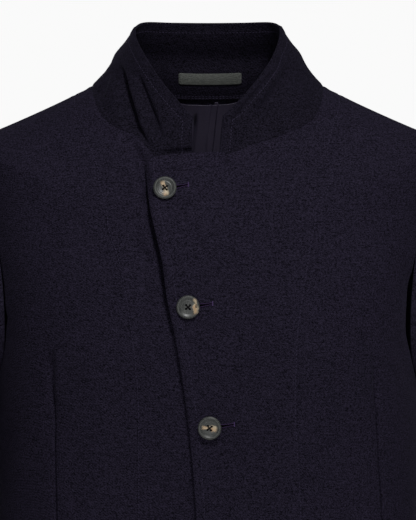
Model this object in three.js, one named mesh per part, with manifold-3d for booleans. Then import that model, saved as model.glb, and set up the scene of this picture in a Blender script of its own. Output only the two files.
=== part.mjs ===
// A blazer with a tall stand collar, filled out as if worn, with nobody in it.
// Millimetres, +Z up; the front faces -Y and the wearer's left is +X.
// The origin is the middle of the neck opening, level with the tops of the shoulders.
import * as THREE from "three";
import * as BufferGeometryUtils from "three/addons/utils/BufferGeometryUtils.js";
import Module from "manifold-3d";

// Walls and gaps
const CLOTH = 1.9; // fronts, backs and sleeves
const COLLAR_CLOTH = 2.6; // two layers of cloth with stiffening between
const LINING_CLOTH = 1.0;
const LABEL_CLOTH = 0.7;
const SEAM_GAP = 0.3; // between pieces that are sewn together
const ARMHOLE_GAP = 0.45; // the sleeve turns sharply there, so its wall needs a little more
const LAP_RISE = 2.5; // the left front over the right one

// Where the photograph was taken from, so that seams can be given as they are seen
const VIEW_DISTANCE = 3000; // to the front of the chest
const VIEW_HEIGHT = -158;
const CHEST_FRONT = -110;

// The body's form, ring by ring from the hem to inside the neck:
// half width; y of front, side, back; z of front, side, back; fullness of front, back
const BODY_RINGS = [
  [212, -126, 6, 126, -742, -738, -736, 0.26, 0.22],
  [210, -125, 6, 124, -660, -656, -654, 0.26, 0.22],
  [207, -122, 5, 118, -580, -576, -572, 0.25, 0.22],
  [203.5, -118, 4, 104, -505, -500, -498, 0.24, 0.22],
  [200.5, -117, 3, 93, -432, -430, -430, 0.23, 0.22],
  [200.5, -122, 3, 98, -362, -362, -362, 0.24, 0.22],
  [200, -129, 4, 111, -298, -304, -300, 0.26, 0.24],
  [201, -132, 6, 120, -236, -250, -242, 0.3, 0.26],
  [209, -127, 8, 124, -176, -180, -180, 0.3, 0.24],
  [221, -117, 9, 120, -128, -98, -118, 0.16, 0.14],
  [229, -112, 9.5, 115.5, -112, -47, -96, 0.07, 0.06],
  [227, -107, 10, 111, -98, -44, -76, 0.02, 0.02],
  [198, -100, 11, 102, -84, -32.5, -48, 0.0, 0.0],
  [166, -96, 12, 95, -76, -18.5, -26, 0.02, 0.0],
  [133, -92, 13, 89, -69, -3, -10, 0.06, 0.02],
  [109, -88, 13, 84, -62, 10, 0, 0.1, 0.04],
  [92, -82, 13, 78, -48, 30, 14, 0.1, 0.04],
];
const NECK_RING = 15;
const SHOULDER_RING = 11;
const SHOULDER_SEAM_ANGLE = 97; // degrees round from the front, just behind the ridge
const SIDE_SEAM_ANGLE = 94;

// Seams and edges as seen from the front: x, z
const LEFT_FREE_EDGE = [
  [-55.5, -65], [-54.7, -91], [-50.1, -121], [-40.9, -161], [-36.3, -195], [-28, -235],
  [-20.7, -281], [-15.2, -327], [-9.7, -397], [-7, -450], [-4, -520], [3, -590],
  [14, -650], [32, -704], [58, -738],
];
const RIGHT_FREE_EDGE = [
  [52, -82], [51, -104], [47, -130], [39, -165], [33, -200], [25, -240],
  [18, -285], [13, -330], [9, -397], [6, -450], [3, -520], [-4, -590],
  [-15, -650], [-33, -704], [-59, -738],
];
const LEFT_TOP_EDGE = [[-55.5, -65], [-28, -61.6], [-8, -60], [12, -58.5]];
const RIGHT_TOP_EDGE = [[52, -82], [30, -79], [5, -76], [-17, -74]];
const LEFT_GORGE = [
  [12, -58.5], [23.5, -58.6], [41.9, -51], [69.5, -41.8], [85, -36], [97, -28],
  [103.5, -16], [106.3, -2],
];
const RIGHT_GORGE = [
  [-17, -74], [-33, -73], [-46.5, -66], [-53.5, -57], [-64.9, -44], [-83.3, -35.5],
  [-96, -27], [-103, -13], [-106, -2],
];
const LEFT_PRINCESS = [
  [122.8, -12], [115.5, -41.4], [112.7, -66.2], [105.3, -103], [100.7, -124],
  [94.3, -158], [89.7, -189], [85.1, -220], [83.3, -257], [82.3, -287],
  [83.3, -317], [86.9, -379], [89, -430], [92, -520], [96, -640], [99, -738],
];
const RIGHT_PRINCESS = [
  [-123.7, -14], [-115.5, -40.5], [-106.3, -63.5], [-101.7, -84.6], [-96.1, -105.8],
  [-92.5, -130.6], [-85.1, -151.8], [-78.7, -179.4], [-73.1, -213.4], [-68.5, -250.2],
  [-65.8, -280.6], [-64.9, -317.4], [-64.9, -397.4], [-66, -440], [-72, -540],
  [-79, -640], [-84, -738],
];

// The armhole as seen from the side: y, z, from the underarm up
const ARMHOLE_FRONT = [
  [-24, -266], [-44, -246], [-55, -213], [-57, -170], [-49, -120], [-27, -74],
];
const ARMHOLE_BACK = [
  [36, -265], [58, -244], [69, -210], [70, -165], [62, -115], [45, -76],
];
const UNDERARM = [6, -275];

// The sleeve, ring by ring: x, z of the side next to the body; x, z of the outer side;
// y of the middle; half its depth from front to back
const SLEEVE_RINGS = [
  [202.5, -276, 238, -48.5, 6, 61],
  [203, -279, 260, -64, 5, 62],
  [203.3, -284, 280, -95, 4, 62],
  [203.6, -291, 295, -138, 2, 62],
  [203.9, -302, 306, -192, 0, 61.5],
  [204.4, -322, 313, -255, -3, 60.5],
  [205.6, -360, 318, -325, -6, 59],
  [208.6, -415, 321, -400, -10, 56.5],
  [215, -485, 322, -480, -16, 53.5],
  [222, -560, 320, -565, -24, 50.5],
  [228, -640, 317, -650, -34, 48],
];

// The collar's top edge, from the wearer's left front end round to the right one: x, y, z
const COLLAR_TOP_LEFT = [
  [15.3, -74, -24], [30.5, -68, -9], [49.5, -53, 13.5], [62.5, -31, 34], [70, -4, 54],
  [71.3, 18, 66],
];
const COLLAR_TOP_BACK = [
  [71.3, 18, 66], [62, 42, 71], [34, 57, 71.5], [0, 62, 71.5], [-34, 57, 71.5],
  [-62, 42, 71], [-70.8, 18, 65],
];
const COLLAR_TOP_RIGHT = [
  [-70.8, 18, 65], [-69.5, -4, 54.5], [-61, -31, 36.5], [-44.5, -55, 10.4],
  [-26, -69, -12], [-14.6, -75, -25],
];
const COLLAR_HOLLOW = 2.5; // how far the collar's wall dips between its two edges

// Large folds, as seen from the front: x, z at three places; depth; half width
const BODY_FOLDS = [
  [-147, -236, -145, -275, -142, -330, -2.2, 10],
  [144, -243, 150, -267, 157, -300, -2.2, 10],
  [-70, -140, -58, -167, -52, -215, -1.6, 11],
  [183, -150, 187, -200, 189, -260, -3.0, 12],
  [-184, -150, -187, -200, -188, -260, -2.0, 14],
];
const COLLAR_FOLDS = [
  [-88, 22, -74, -8, -60, -42, -2.6, 9],
  [85, 28, 68, 2, 52, -30, -1.6, 12],
];

// Buttons: x, z as seen from the front; the turn of the holes in degrees
const BUTTONS = [
  [-39.1, -92.6, 40],
  [-18.0, -201.5, 45],
  [1.9, -312.5, 38],
  [5.5, -424, 45],
];
const BUTTON_RADIUS = 10.7;
const BUTTON_THICKNESS = 3.2;
const BUTTON_HOLE_RADIUS = 0.85;
const BUTTON_HOLE_OFFSET = 1.75;

// Counts along the seams, shared by the pieces that meet there
const ROWS = 30;
const SIDE_ROWS = 17;
const FREE_TOP_COLUMNS = 5;
const GORGE_COLUMNS = 9;
const TONGUE_COLUMNS = 2;
const SHOULDER_COLUMNS = 7;
const BACK_NECK_COLUMNS = 6;
const SLEEVE_ROWS = 16;
const COLLAR_ROWS = 7;
const SLEEVE_FRONT_SEAM = 4; // armhole steps from the underarm
const SLEEVE_BACK_SEAM = 7;
const BEND_FADE = 5; // how soon a panel's rows straighten away from its top and bottom

const RADIANS = Math.PI / 180;

function mix(a, b, part) {
  return a + (b - a) * part;
}

function ease(value, from, to) {
  const part = Math.min(1, Math.max(0, (value - from) / (to - from)));
  return part * part * (3 - 2 * part);
}

// A smooth curve through the rows of a table, read at a row number with a fraction
function tableAt(rows, place) {
  const last = rows.length - 1;
  const k = Math.min(last - 1, Math.max(0, Math.floor(place)));
  const f = place - k;
  return rows[k].map((value, column) => {
    const p1 = value;
    const p2 = rows[k + 1][column];
    const p0 = k > 0 ? rows[k - 1][column] : 2 * p1 - p2;
    const p3 = k + 2 <= last ? rows[k + 2][column] : 2 * p2 - p1;
    const slope1 = (p2 - p0) / 2;
    const slope2 = (p3 - p1) / 2;
    const rise = p2 - p1;
    return p1 + f * (slope1 + f * (3 * rise - 2 * slope1 - slope2 + f * (slope1 + slope2 - 2 * rise)));
  });
}

// A point of the body's form: ring number and angle from the front, in degrees
function bodyPoint([ring, angle]) {
  const [width, yFront, ySide, yBack, zFront, zSide, zBack, fullFront, fullBack] =
    tableAt(BODY_RINGS, ring);
  const s = Math.sin(angle * RADIANS);
  const c = Math.cos(angle * RADIANS);
  const front = c > 0;
  const yEnd = front ? yFront : yBack;
  const zEnd = front ? zFront : zBack;
  const full = front ? fullFront : fullBack;
  return new THREE.Vector3(
    width * s,
    ySide + (yEnd - ySide) * Math.abs(c) * (1 + full * s * s),
    zSide + (zEnd - zSide) * c * c,
  );
}

function bodyNormal([ring, angle]) {
  const across = bodyPoint([ring, angle + 0.05]).sub(bodyPoint([ring, angle - 0.05]));
  const up = bodyPoint([ring + 0.005, angle]).sub(bodyPoint([ring - 0.005, angle]));
  return across.cross(up).normalize();
}

function seenFromFront(point) {
  const scale = VIEW_DISTANCE / (VIEW_DISTANCE + point.y - CHEST_FRONT);
  return [point.x * scale, VIEW_HEIGHT + (point.z - VIEW_HEIGHT) * scale];
}

function seenFromSide(point) {
  return [point.y, point.z];
}

// The ring and angle where the body's form is seen at a given place
function findOnBody(seen, target, angleLow, angleHigh) {
  const miss = (place) => {
    const [u, v] = seen(bodyPoint(place));
    return [u - target[0], v - target[1]];
  };
  let best = null;
  for (let ring = 0; ring <= BODY_RINGS.length - 1; ring += 0.25) {
    for (let angle = angleLow; angle <= angleHigh; angle += 4) {
      const [du, dv] = miss([ring, angle]);
      const far = Math.hypot(du, dv);
      if (best === null || far < best.far) {
        best = { far, place: [ring, angle] };
      }
    }
  }
  let [ring, angle] = best.place;
  for (let step = 0; step < 14; step += 1) {
    const [du, dv] = miss([ring, angle]);
    const [rateU1, rateV1] = miss([ring + 0.002, angle]).map((m, i) => (m - [du, dv][i]) / 0.002);
    const [rateU2, rateV2] = miss([ring, angle + 0.05]).map((m, i) => (m - [du, dv][i]) / 0.05);
    const whole = rateU1 * rateV2 - rateU2 * rateV1;
    if (Math.abs(whole) < 1e-6) {
      break;
    }
    const ringStep = (du * rateV2 - dv * rateU2) / whole;
    const angleStep = (dv * rateU1 - du * rateV1) / whole;
    ring -= Math.max(-0.4, Math.min(0.4, ringStep));
    angle -= Math.max(-6, Math.min(6, angleStep));
  }
  return [ring, angle];
}

function frontPlaces(points) {
  return points.map((point) => findOnBody(seenFromFront, point, -88, 88));
}

// Even steps along a curve through places on the body's form
function sampled(places, count) {
  const fine = 24 * (places.length - 1);
  const curve = [];
  for (let i = 0; i <= fine; i += 1) {
    curve.push(tableAt(places, (i / fine) * (places.length - 1)));
  }
  const reach = [0];
  for (let i = 1; i <= fine; i += 1) {
    reach.push(reach[i - 1] + bodyPoint(curve[i]).distanceTo(bodyPoint(curve[i - 1])));
  }
  const result = [];
  let k = 0;
  for (let i = 0; i <= count; i += 1) {
    const wanted = (reach[fine] * i) / count;
    while (k < fine - 1 && reach[k + 1] < wanted) {
      k += 1;
    }
    const part = (wanted - reach[k]) / Math.max(1e-9, reach[k + 1] - reach[k]);
    result.push([mix(curve[k][0], curve[k + 1][0], part), mix(curve[k][1], curve[k + 1][1], part)]);
  }
  return result;
}

function joined(...pieces) {
  return pieces.flatMap((piece, i) => (i === 0 ? piece : piece.slice(1)));
}

// The place on the body's form that is nearest to a point, starting from a place near it
function nearestOnBody(target, start) {
  let [ring, angle] = start;
  for (let step = 0; step < 12; step += 1) {
    const here = bodyPoint([ring, angle]);
    const byRing = bodyPoint([ring + 0.004, angle]).sub(here).divideScalar(0.004);
    const byAngle = bodyPoint([ring, angle + 0.1]).sub(here).divideScalar(0.1);
    const miss = target.clone().sub(here);
    const rr = byRing.dot(byRing);
    const ra = byRing.dot(byAngle);
    const aa = byAngle.dot(byAngle);
    const whole = rr * aa - ra * ra;
    const ringStep = (miss.dot(byRing) * aa - miss.dot(byAngle) * ra) / whole;
    const angleStep = (miss.dot(byAngle) * rr - miss.dot(byRing) * ra) / whole;
    ring += Math.max(-0.5, Math.min(0.5, ringStep));
    angle += Math.max(-8, Math.min(8, angleStep));
  }
  return [ring, angle];
}

// Places filled in between four edges: rows run from top to bottom, columns between the sides.
// Each row runs straight between the sides, and near the top and bottom it bends as they do.
function filled(top, bottom, first, last) {
  const columns = top.length - 1;
  const rows = first.length - 1;
  const [topAt, bottomAt, firstAt, lastAt] = [top, bottom, first, last].map((edge) => edge.map(bodyPoint));
  const bendOf = (edge, j) => edge[j].clone().sub(edge[0].clone().lerp(edge[columns], j / columns));
  const grid = [];
  for (let i = 0; i <= rows; i += 1) {
    const v = i / rows;
    const row = [];
    for (let j = 0; j <= columns; j += 1) {
      if (i === 0 || i === rows || j === 0 || j === columns) {
        row.push(i === 0 ? top[j] : i === rows ? bottom[j] : j === 0 ? first[i] : last[i]);
      } else {
        const target = firstAt[i].clone().lerp(lastAt[i], j / columns);
        target.addScaledVector(bendOf(topAt, j), (1 - v) ** BEND_FADE);
        target.addScaledVector(bendOf(bottomAt, j), v ** BEND_FADE);
        row.push(nearestOnBody(target, row[j - 1]));
      }
    }
    grid.push(row);
  }
  return grid;
}

// How far a fold moves the cloth out at a place seen from the front
function foldDepth(folds, x, z) {
  let depth = 0;
  for (const [x1, z1, x2, z2, x3, z3, deep, halfWidth] of folds) {
    let near = Infinity;
    let along = 0;
    [[x1, z1, x2, z2, 0], [x2, z2, x3, z3, 1]].forEach(([ax, az, bx, bz, offset]) => {
      const length = (bx - ax) ** 2 + (bz - az) ** 2;
      const part = Math.min(1, Math.max(0, ((x - ax) * (bx - ax) + (z - az) * (bz - az)) / length));
      const far = Math.hypot(x - mix(ax, bx, part), z - mix(az, bz, part));
      if (far < near) {
        near = far;
        along = (offset + part) / 2;
      }
    });
    const taper = ease(along, -0.05, 0.25) * ease(1.05 - along, 0, 0.3);
    depth += deep * taper * Math.exp(-((near / halfWidth) ** 2));
  }
  return depth;
}

function edgeXAt(edge, z) {
  for (let i = 1; i < edge.length; i += 1) {
    if (z >= edge[i][1] || i === edge.length - 1) {
      const part = (z - edge[i - 1][1]) / (edge[i][1] - edge[i - 1][1]);
      return mix(edge[i - 1][0], edge[i][0], Math.max(0, Math.min(1, part)));
    }
  }
  return edge[0][0];
}

// The left front rises over the right one, and its free edge stands off a little more
function lapRise(x, z) {
  const underEdge = edgeXAt(RIGHT_FREE_EDGE, z);
  const across = 1 - ease(x, underEdge + 5, underEdge + 32);
  const belowSeam = mix(1, 1 - ease(z, -73, -62), ease(x, 4, 16));
  const freeEdge = edgeXAt(LEFT_FREE_EDGE, z);
  const standing = 3.2 * ease(-z, 75, 120) * (1 - ease(-z, 150, 290));
  const nearEdge = Math.exp(-(((x - freeEdge) / 13) ** 2));
  return LAP_RISE * across * belowSeam + standing * nearEdge;
}

// A point of the outer face of the cloth: the body's form, folds and a rise of the panel's own
function clothPoint(place, rise) {
  const point = bodyPoint(place);
  let move = 0;
  if (Math.abs(place[1]) < 90) {
    const [x, z] = seenFromFront(point);
    move = foldDepth(BODY_FOLDS, x, z) + (rise ? rise(x, z) : 0);
  }
  return point.addScaledVector(bodyNormal(place), move);
}

// Both faces' points: the outer ones, and the way out at each of them
function panelGrid(places, rise) {
  return {
    points: places.map((row) => row.map((place) => clothPoint(place, rise))),
    normals: places.map((row) => row.map(bodyNormal)),
  };
}

function gridNormals(grid) {
  const rows = grid.length - 1;
  const columns = grid[0].length - 1;
  return grid.map((row, i) => row.map((point, j) => {
    const across = grid[i][Math.min(columns, j + 1)].clone().sub(grid[i][Math.max(0, j - 1)]);
    const down = grid[Math.min(rows, i + 1)][j].clone().sub(grid[Math.max(0, i - 1)][j]);
    return down.cross(across).normalize();
  }));
}

// Draws a grid's edges in, by half a seam's gap, where it is sewn: top, bottom, first, last
function drawnIn({ points: grid, normals }, amounts) {
  const rows = grid.length - 1;
  const columns = grid[0].length - 1;
  const result = grid.map((row) => row.map((point) => point.clone()));
  const pull = (i, j, inner, before, after, amount) => {
    const here = grid[i][j];
    const steps = [here.clone().sub(before), after.clone().sub(here)]
      .filter((step) => step.length() > 0)
      .map((step) => step.normalize());
    const edge = steps.reduce((sum, step) => sum.add(step), new THREE.Vector3()).normalize();
    const inward = inner.clone().sub(here);
    inward.addScaledVector(edge, -inward.dot(edge)).normalize();
    result[i][j].addScaledVector(inward, amount / Math.max(0.5, edge.dot(steps[0])));
  };
  for (let j = 0; j <= columns; j += 1) {
    [[0, 1, amounts[0]], [rows, rows - 1, amounts[1]]].forEach(([i, inner, amount]) => {
      if (amount > 0) {
        const [before, after] = [grid[i][Math.max(0, j - 1)], grid[i][Math.min(columns, j + 1)]];
        pull(i, j, grid[inner][j], before, after, amount);
      }
    });
  }
  for (let i = 0; i <= rows; i += 1) {
    [[0, 1, amounts[2]], [columns, columns - 1, amounts[3]]].forEach(([j, inner, amount]) => {
      if (amount > 0) {
        const [before, after] = [grid[Math.max(0, i - 1)][j], grid[Math.min(rows, i + 1)][j]];
        pull(i, j, grid[i][inner], before, after, amount);
      }
    });
  }
  return { points: result, normals };
}

// A closed wall of cloth: the points are its outer face, and the normals point out of it
function wall({ points: grid, normals }, thickness, outFrom = 0) {
  const rows = grid.length;
  const columns = grid[0].length;
  const positions = [];
  [outFrom, outFrom - thickness].forEach((offset) => {
    for (let i = 0; i < rows; i += 1) {
      for (let j = 0; j < columns; j += 1) {
        const point = grid[i][j].clone().addScaledVector(normals[i][j], offset);
        positions.push(point.x, point.y, point.z);
      }
    }
  });
  const outer = (i, j) => i * columns + j;
  const inner = (i, j) => rows * columns + i * columns + j;
  const faces = [];
  const quad = (a, b, c, d) => faces.push(a, b, c, a, c, d);
  for (let i = 0; i < rows - 1; i += 1) {
    for (let j = 0; j < columns - 1; j += 1) {
      quad(outer(i, j), outer(i + 1, j), outer(i + 1, j + 1), outer(i, j + 1));
      quad(inner(i, j), inner(i, j + 1), inner(i + 1, j + 1), inner(i + 1, j));
    }
  }
  for (let j = 0; j < columns - 1; j += 1) {
    quad(outer(0, j), outer(0, j + 1), inner(0, j + 1), inner(0, j));
    quad(outer(rows - 1, j + 1), outer(rows - 1, j), inner(rows - 1, j), inner(rows - 1, j + 1));
  }
  for (let i = 0; i < rows - 1; i += 1) {
    quad(outer(i + 1, 0), outer(i, 0), inner(i, 0), inner(i + 1, 0));
    quad(outer(i, columns - 1), outer(i + 1, columns - 1), inner(i + 1, columns - 1), inner(i, columns - 1));
  }
  const geometry = new THREE.BufferGeometry();
  geometry.setAttribute("position", new THREE.Float32BufferAttribute(positions, 3));
  geometry.setIndex(faces);
  geometry.computeVertexNormals();
  return geometry;
}

// A point between the points of a grid, on its own flat faces
function between(grid, row, column) {
  const i = Math.min(grid.length - 2, Math.floor(row));
  const j = Math.min(grid[0].length - 2, Math.floor(column));
  const top = grid[i][j].clone().lerp(grid[i][j + 1], column - j);
  const bottom = grid[i + 1][j].clone().lerp(grid[i + 1][j + 1], column - j);
  return top.lerp(bottom, row - i);
}

const garment = new THREE.Group();
garment.name = "blazer";

function add(name, geometry, look) {
  const mesh = new THREE.Mesh(geometry, new THREE.MeshStandardMaterial(look));
  mesh.name = name;
  garment.add(mesh);
  return mesh;
}

const CLOTH_LOOK = { color: 0x1b1924, roughness: 0.92, metalness: 0 };
const LINING_LOOK = { color: 0x2b2735, roughness: 0.55, metalness: 0 };
const LABEL_LOOK = { color: 0x3c3e3c, roughness: 0.7, metalness: 0 };
const BUTTON_LOOK = { color: 0x4a4541, roughness: 0.35, metalness: 0 };

// Seams that two pieces share, for one side of the body (+1 is the wearer's left)
function sideSeams(side) {
  const gorgePoints = side > 0 ? LEFT_GORGE : RIGHT_GORGE;
  const princessPoints = side > 0 ? LEFT_PRINCESS : RIGHT_PRINCESS;
  const neckPoint = [NECK_RING, side * SHOULDER_SEAM_ANGLE];
  const princessTop = [NECK_RING - 0.62, side * SHOULDER_SEAM_ANGLE];
  const shoulderPoint = [SHOULDER_RING, side * SHOULDER_SEAM_ANGLE];
  const onSide = (points) => points.map((point) =>
    findOnBody(seenFromSide, point, side > 0 ? 20 : -160, side > 0 ? 160 : -20));
  const underarm = onSide([UNDERARM])[0];
  underarm[1] = side * SIDE_SEAM_ANGLE;
  const armRows = ROWS - SIDE_ROWS;
  const gorge = sampled([...frontPlaces(gorgePoints), neckPoint], GORGE_COLUMNS);
  const princess = sampled([princessTop, ...frontPlaces(princessPoints)], ROWS);
  const tongueTop = sampled([neckPoint, princessTop], TONGUE_COLUMNS);
  const shoulder = sampled([princessTop, shoulderPoint], SHOULDER_COLUMNS);
  const armFront = sampled([underarm, ...onSide(ARMHOLE_FRONT), shoulderPoint], armRows);
  const armBack = sampled([underarm, ...onSide(ARMHOLE_BACK), shoulderPoint], armRows);
  const side_ = sampled([underarm, [5, side * SIDE_SEAM_ANGLE], [0, side * SIDE_SEAM_ANGLE]], SIDE_ROWS);
  const backNeck = sampled([[NECK_RING, side * 180], neckPoint], BACK_NECK_COLUMNS);
  const centreBack = sampled([[NECK_RING, side * 180], [7, side * 180], [0, side * 180]], ROWS);
  return { gorge, princess, tongueTop, shoulder, armFront, armBack, side: side_, backNeck, centreBack };
}

// Seams and hem run from the top down, so the armhole is turned to run the same way
function bodyPanels(side, seams) {
  const half = SEAM_GAP / 2;
  const frontLast = joined(seams.tongueTop, seams.princess);
  const frontRows = frontLast.length - 1;
  const freeEdge = sampled(frontPlaces(side > 0 ? LEFT_FREE_EDGE : RIGHT_FREE_EDGE), frontRows);
  const freeTop = sampled(frontPlaces(side > 0 ? LEFT_TOP_EDGE : RIGHT_TOP_EDGE), FREE_TOP_COLUMNS);
  const frontTop = joined(freeTop, seams.gorge);
  const frontHem = sampled([freeEdge[frontRows], seams.princess[ROWS]], frontTop.length - 1);
  const frontPlacesGrid = filled(frontTop, frontHem, freeEdge, frontLast);
  const front = panelGrid(frontPlacesGrid, side > 0 ? lapRise : null);

  const frontSide = joined([...seams.armFront].reverse(), seams.side);
  const sideHem = sampled([seams.princess[ROWS], frontSide[ROWS]], SHOULDER_COLUMNS);
  const sideFront = panelGrid(filled(seams.shoulder, sideHem, seams.princess, frontSide));

  const backSide = joined([...seams.armBack].reverse(), seams.side);
  const backTop = joined(seams.backNeck, seams.tongueTop, seams.shoulder);
  const backHem = sampled([seams.centreBack[ROWS], backSide[ROWS]], backTop.length - 1);
  const back = panelGrid(filled(backTop, backHem, seams.centreBack, backSide));

  return {
    front: drawnIn(front, [half, 0, 0, half]),
    sideFront: drawnIn(sideFront, [half, 0, half, half]),
    back: drawnIn(back, [half, 0, half, half]),
  };
}

// Rows turned end for end, so that the faces look out on the other side of the body
function turned({ points, normals }) {
  return {
    points: points.map((row) => [...row].reverse()),
    normals: normals.map((row) => [...row].reverse()),
  };
}

// The sleeve's rings run round from the shoulder point, down the front, back up behind
function sleeveGrid(side, seams) {
  const loop = joined([...seams.armFront].reverse(), seams.armBack);
  const round = loop.length - 1;
  const armhole = loop.map(bodyPoint);
  const rings = [];
  for (let i = 0; i <= SLEEVE_ROWS; i += 1) {
    const place = (i / SLEEVE_ROWS) * SLEEVE_RINGS.length - 1;
    const ring = [];
    for (let j = 0; j <= round; j += 1) {
      const turn = (j / round) * 2 * Math.PI;
      const ringPoint = (row) => {
        const [innerX, innerZ, outerX, outerZ, yMiddle, halfDepth] = row;
        const c = Math.cos(turn);
        return new THREE.Vector3(
          side * mix(innerX, outerX, (1 + c) / 2),
          yMiddle - halfDepth * Math.sin(turn),
          mix(innerZ, outerZ, (1 + c) / 2),
        );
      };
      if (place < 0) {
        ring.push(armhole[j].clone().lerp(ringPoint(SLEEVE_RINGS[0]), place + 1));
      } else {
        ring.push(ringPoint(tableAt(SLEEVE_RINGS, place)));
      }
    }
    rings.push(ring);
  }
  return rings;
}

// The way out of a closed tube at each of its points; the last column repeats the first
function tubeNormals(grid, side) {
  const rows = grid.length - 1;
  const round = grid[0].length - 1;
  return grid.map((row, i) => row.map((point, j) => {
    const across = row[j === round ? 1 : j + 1].clone().sub(row[j === 0 ? round - 1 : j - 1]);
    const down = grid[Math.min(rows, i + 1)][j].clone().sub(grid[Math.max(0, i - 1)][j]);
    return across.cross(down).normalize().multiplyScalar(side);
  }));
}

function columnsOf({ points, normals }, ranges) {
  const pick = (grid) => grid.map((row) => ranges.flatMap(([from, to]) => row.slice(from, to)));
  return { points: pick(points), normals: pick(normals) };
}

const left = sideSeams(1);
const right = sideSeams(-1);
const leftPanels = bodyPanels(1, left);
const rightPanels = bodyPanels(-1, right);

add("front_left", wall(leftPanels.front, CLOTH), CLOTH_LOOK);
add("front_right", wall(turned(rightPanels.front), CLOTH), CLOTH_LOOK);
add("side_front_left", wall(leftPanels.sideFront, CLOTH), CLOTH_LOOK);
add("side_front_right", wall(turned(rightPanels.sideFront), CLOTH), CLOTH_LOOK);
add("back_left", wall(turned(leftPanels.back), CLOTH), CLOTH_LOOK);
add("back_right", wall(rightPanels.back, CLOTH), CLOTH_LOOK);

// Sleeves, each in two pieces with a seam in front and one behind
[[1, "left", left], [-1, "right", right]].forEach(([side, name, seams]) => {
  const half = SEAM_GAP / 2;
  const points = sleeveGrid(side, seams);
  const tube = { points, normals: tubeNormals(points, side) };
  const round = points[0].length - 1;
  const frontSeam = round / 2 - SLEEVE_FRONT_SEAM;
  const backSeam = round / 2 + SLEEVE_BACK_SEAM;
  const under = columnsOf(tube, [[frontSeam, backSeam + 1]]);
  const overTop = columnsOf(tube, [[backSeam, round], [0, frontSeam + 1]]);
  [["top_sleeve", overTop], ["under_sleeve", under]].forEach(([piece, part]) => {
    const sewn = drawnIn(part, [ARMHOLE_GAP, 0, half, half]);
    add(`${piece}_${name}`, wall(side > 0 ? turned(sewn) : sewn, CLOTH), CLOTH_LOOK);
  });
});

// The collar: a wall between the neck seam and its own top edge
function smoothLine(points, count) {
  const fine = 240;
  const curve = [];
  for (let i = 0; i <= fine; i += 1) {
    curve.push(new THREE.Vector3(...tableAt(points, (i / fine) * (points.length - 1))));
  }
  const reach = [0];
  for (let i = 1; i <= fine; i += 1) {
    reach.push(reach[i - 1] + curve[i].distanceTo(curve[i - 1]));
  }
  const result = [];
  let k = 0;
  for (let i = 0; i <= count; i += 1) {
    const wanted = (reach[fine] * i) / count;
    while (k < fine - 1 && reach[k + 1] < wanted) {
      k += 1;
    }
    const part = (wanted - reach[k]) / Math.max(1e-9, reach[k + 1] - reach[k]);
    result.push(curve[k].clone().lerp(curve[k + 1], part));
  }
  return result;
}

function collarGrid() {
  const seam = joined(
    left.gorge,
    [...left.backNeck].reverse(),
    right.backNeck,
    [...right.gorge].reverse(),
  ).map(bodyPoint);
  const top = joined(
    smoothLine(COLLAR_TOP_LEFT, GORGE_COLUMNS),
    smoothLine(COLLAR_TOP_BACK, 2 * BACK_NECK_COLUMNS),
    smoothLine(COLLAR_TOP_RIGHT, GORGE_COLUMNS),
  );
  const middle = new THREE.Vector3(0, 0, 20);
  const grid = [];
  for (let i = 0; i <= COLLAR_ROWS; i += 1) {
    const part = i / COLLAR_ROWS;
    grid.push(top.map((topPoint, j) => {
      const point = topPoint.clone().lerp(seam[j], part);
      const inward = middle.clone().sub(point).setZ(0).normalize();
      let move = COLLAR_HOLLOW * Math.sin(Math.PI * part);
      if (point.y < 30) {
        const [x, z] = seenFromFront(point);
        move -= foldDepth(COLLAR_FOLDS, x, z) * Math.sin(Math.PI * Math.min(1, part * 1.4));
      }
      return point.addScaledVector(inward, move);
    }));
  }
  return drawnIn({ points: grid, normals: gridNormals(grid) }, [0, SEAM_GAP / 2, 0, 0]);
}

const collar = collarGrid();
add("collar", wall(collar, COLLAR_CLOTH), CLOTH_LOOK);

// The woven label, bare, on the inside of the collar's back
const LABEL_X = [-28.5, 33.5];
const LABEL_TOP_ROW = 4.62;
const LABEL_BOTTOM_ROW = 5.86;

function collarColumnAt(x, row) {
  let low = GORGE_COLUMNS;
  let high = GORGE_COLUMNS + 2 * BACK_NECK_COLUMNS;
  for (let step = 0; step < 30; step += 1) {
    const middle = (low + high) / 2;
    if (between(collar.points, row, middle).x > x) {
      low = middle;
    } else {
      high = middle;
    }
  }
  return low;
}

// Points along a row between two columns, with one at every column of the cloth underneath
function stops(from, to) {
  const way = Math.sign(to - from);
  const list = [from];
  for (let k = way > 0 ? Math.ceil(from) : Math.floor(from); (to - k) * way > 0.05; k += way) {
    if ((k - from) * way > 0.05) {
      list.push(k);
    }
  }
  return [...list, to];
}

function patch({ points, normals }, rowStops, columnStops, depthAt) {
  const grid = rowStops.map((row) => columnStops.map((column) =>
    between(points, row, column)
      .addScaledVector(between(normals, row, column).normalize(), -depthAt(column))));
  return {
    points: grid,
    normals: rowStops.map((row) => columnStops.map((column) => between(normals, row, column).normalize())),
  };
}

const labelColumns = stops(collarColumnAt(LABEL_X[1], 5), collarColumnAt(LABEL_X[0], 5));
const label = patch(collar, stops(LABEL_TOP_ROW, LABEL_BOTTOM_ROW), labelColumns, () => COLLAR_CLOTH + 0.4);
add("label", wall(label, LABEL_CLOTH), LABEL_LOOK);

// The back lining, where it shows in the neck: the right half laps over the left in a pleat
const LINING_ROWS = 7;
const LINING_COLUMNS = 5;
const PLEAT_LAP = 0.5; // columns past the middle
const LINING_DEPTH = CLOTH + 0.6;
const backColumns = BACK_NECK_COLUMNS + TONGUE_COLUMNS + SHOULDER_COLUMNS;
const turnedLeftBack = turned(leftPanels.back);

function bothBacks(kind) {
  return rightPanels.back[kind].map((row, i) => {
    const leftRow = turnedLeftBack[kind][i];
    const middle = row[0].clone().lerp(leftRow[backColumns], 0.5);
    return [...leftRow.slice(0, backColumns), middle, ...row.slice(1)];
  });
}

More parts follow.
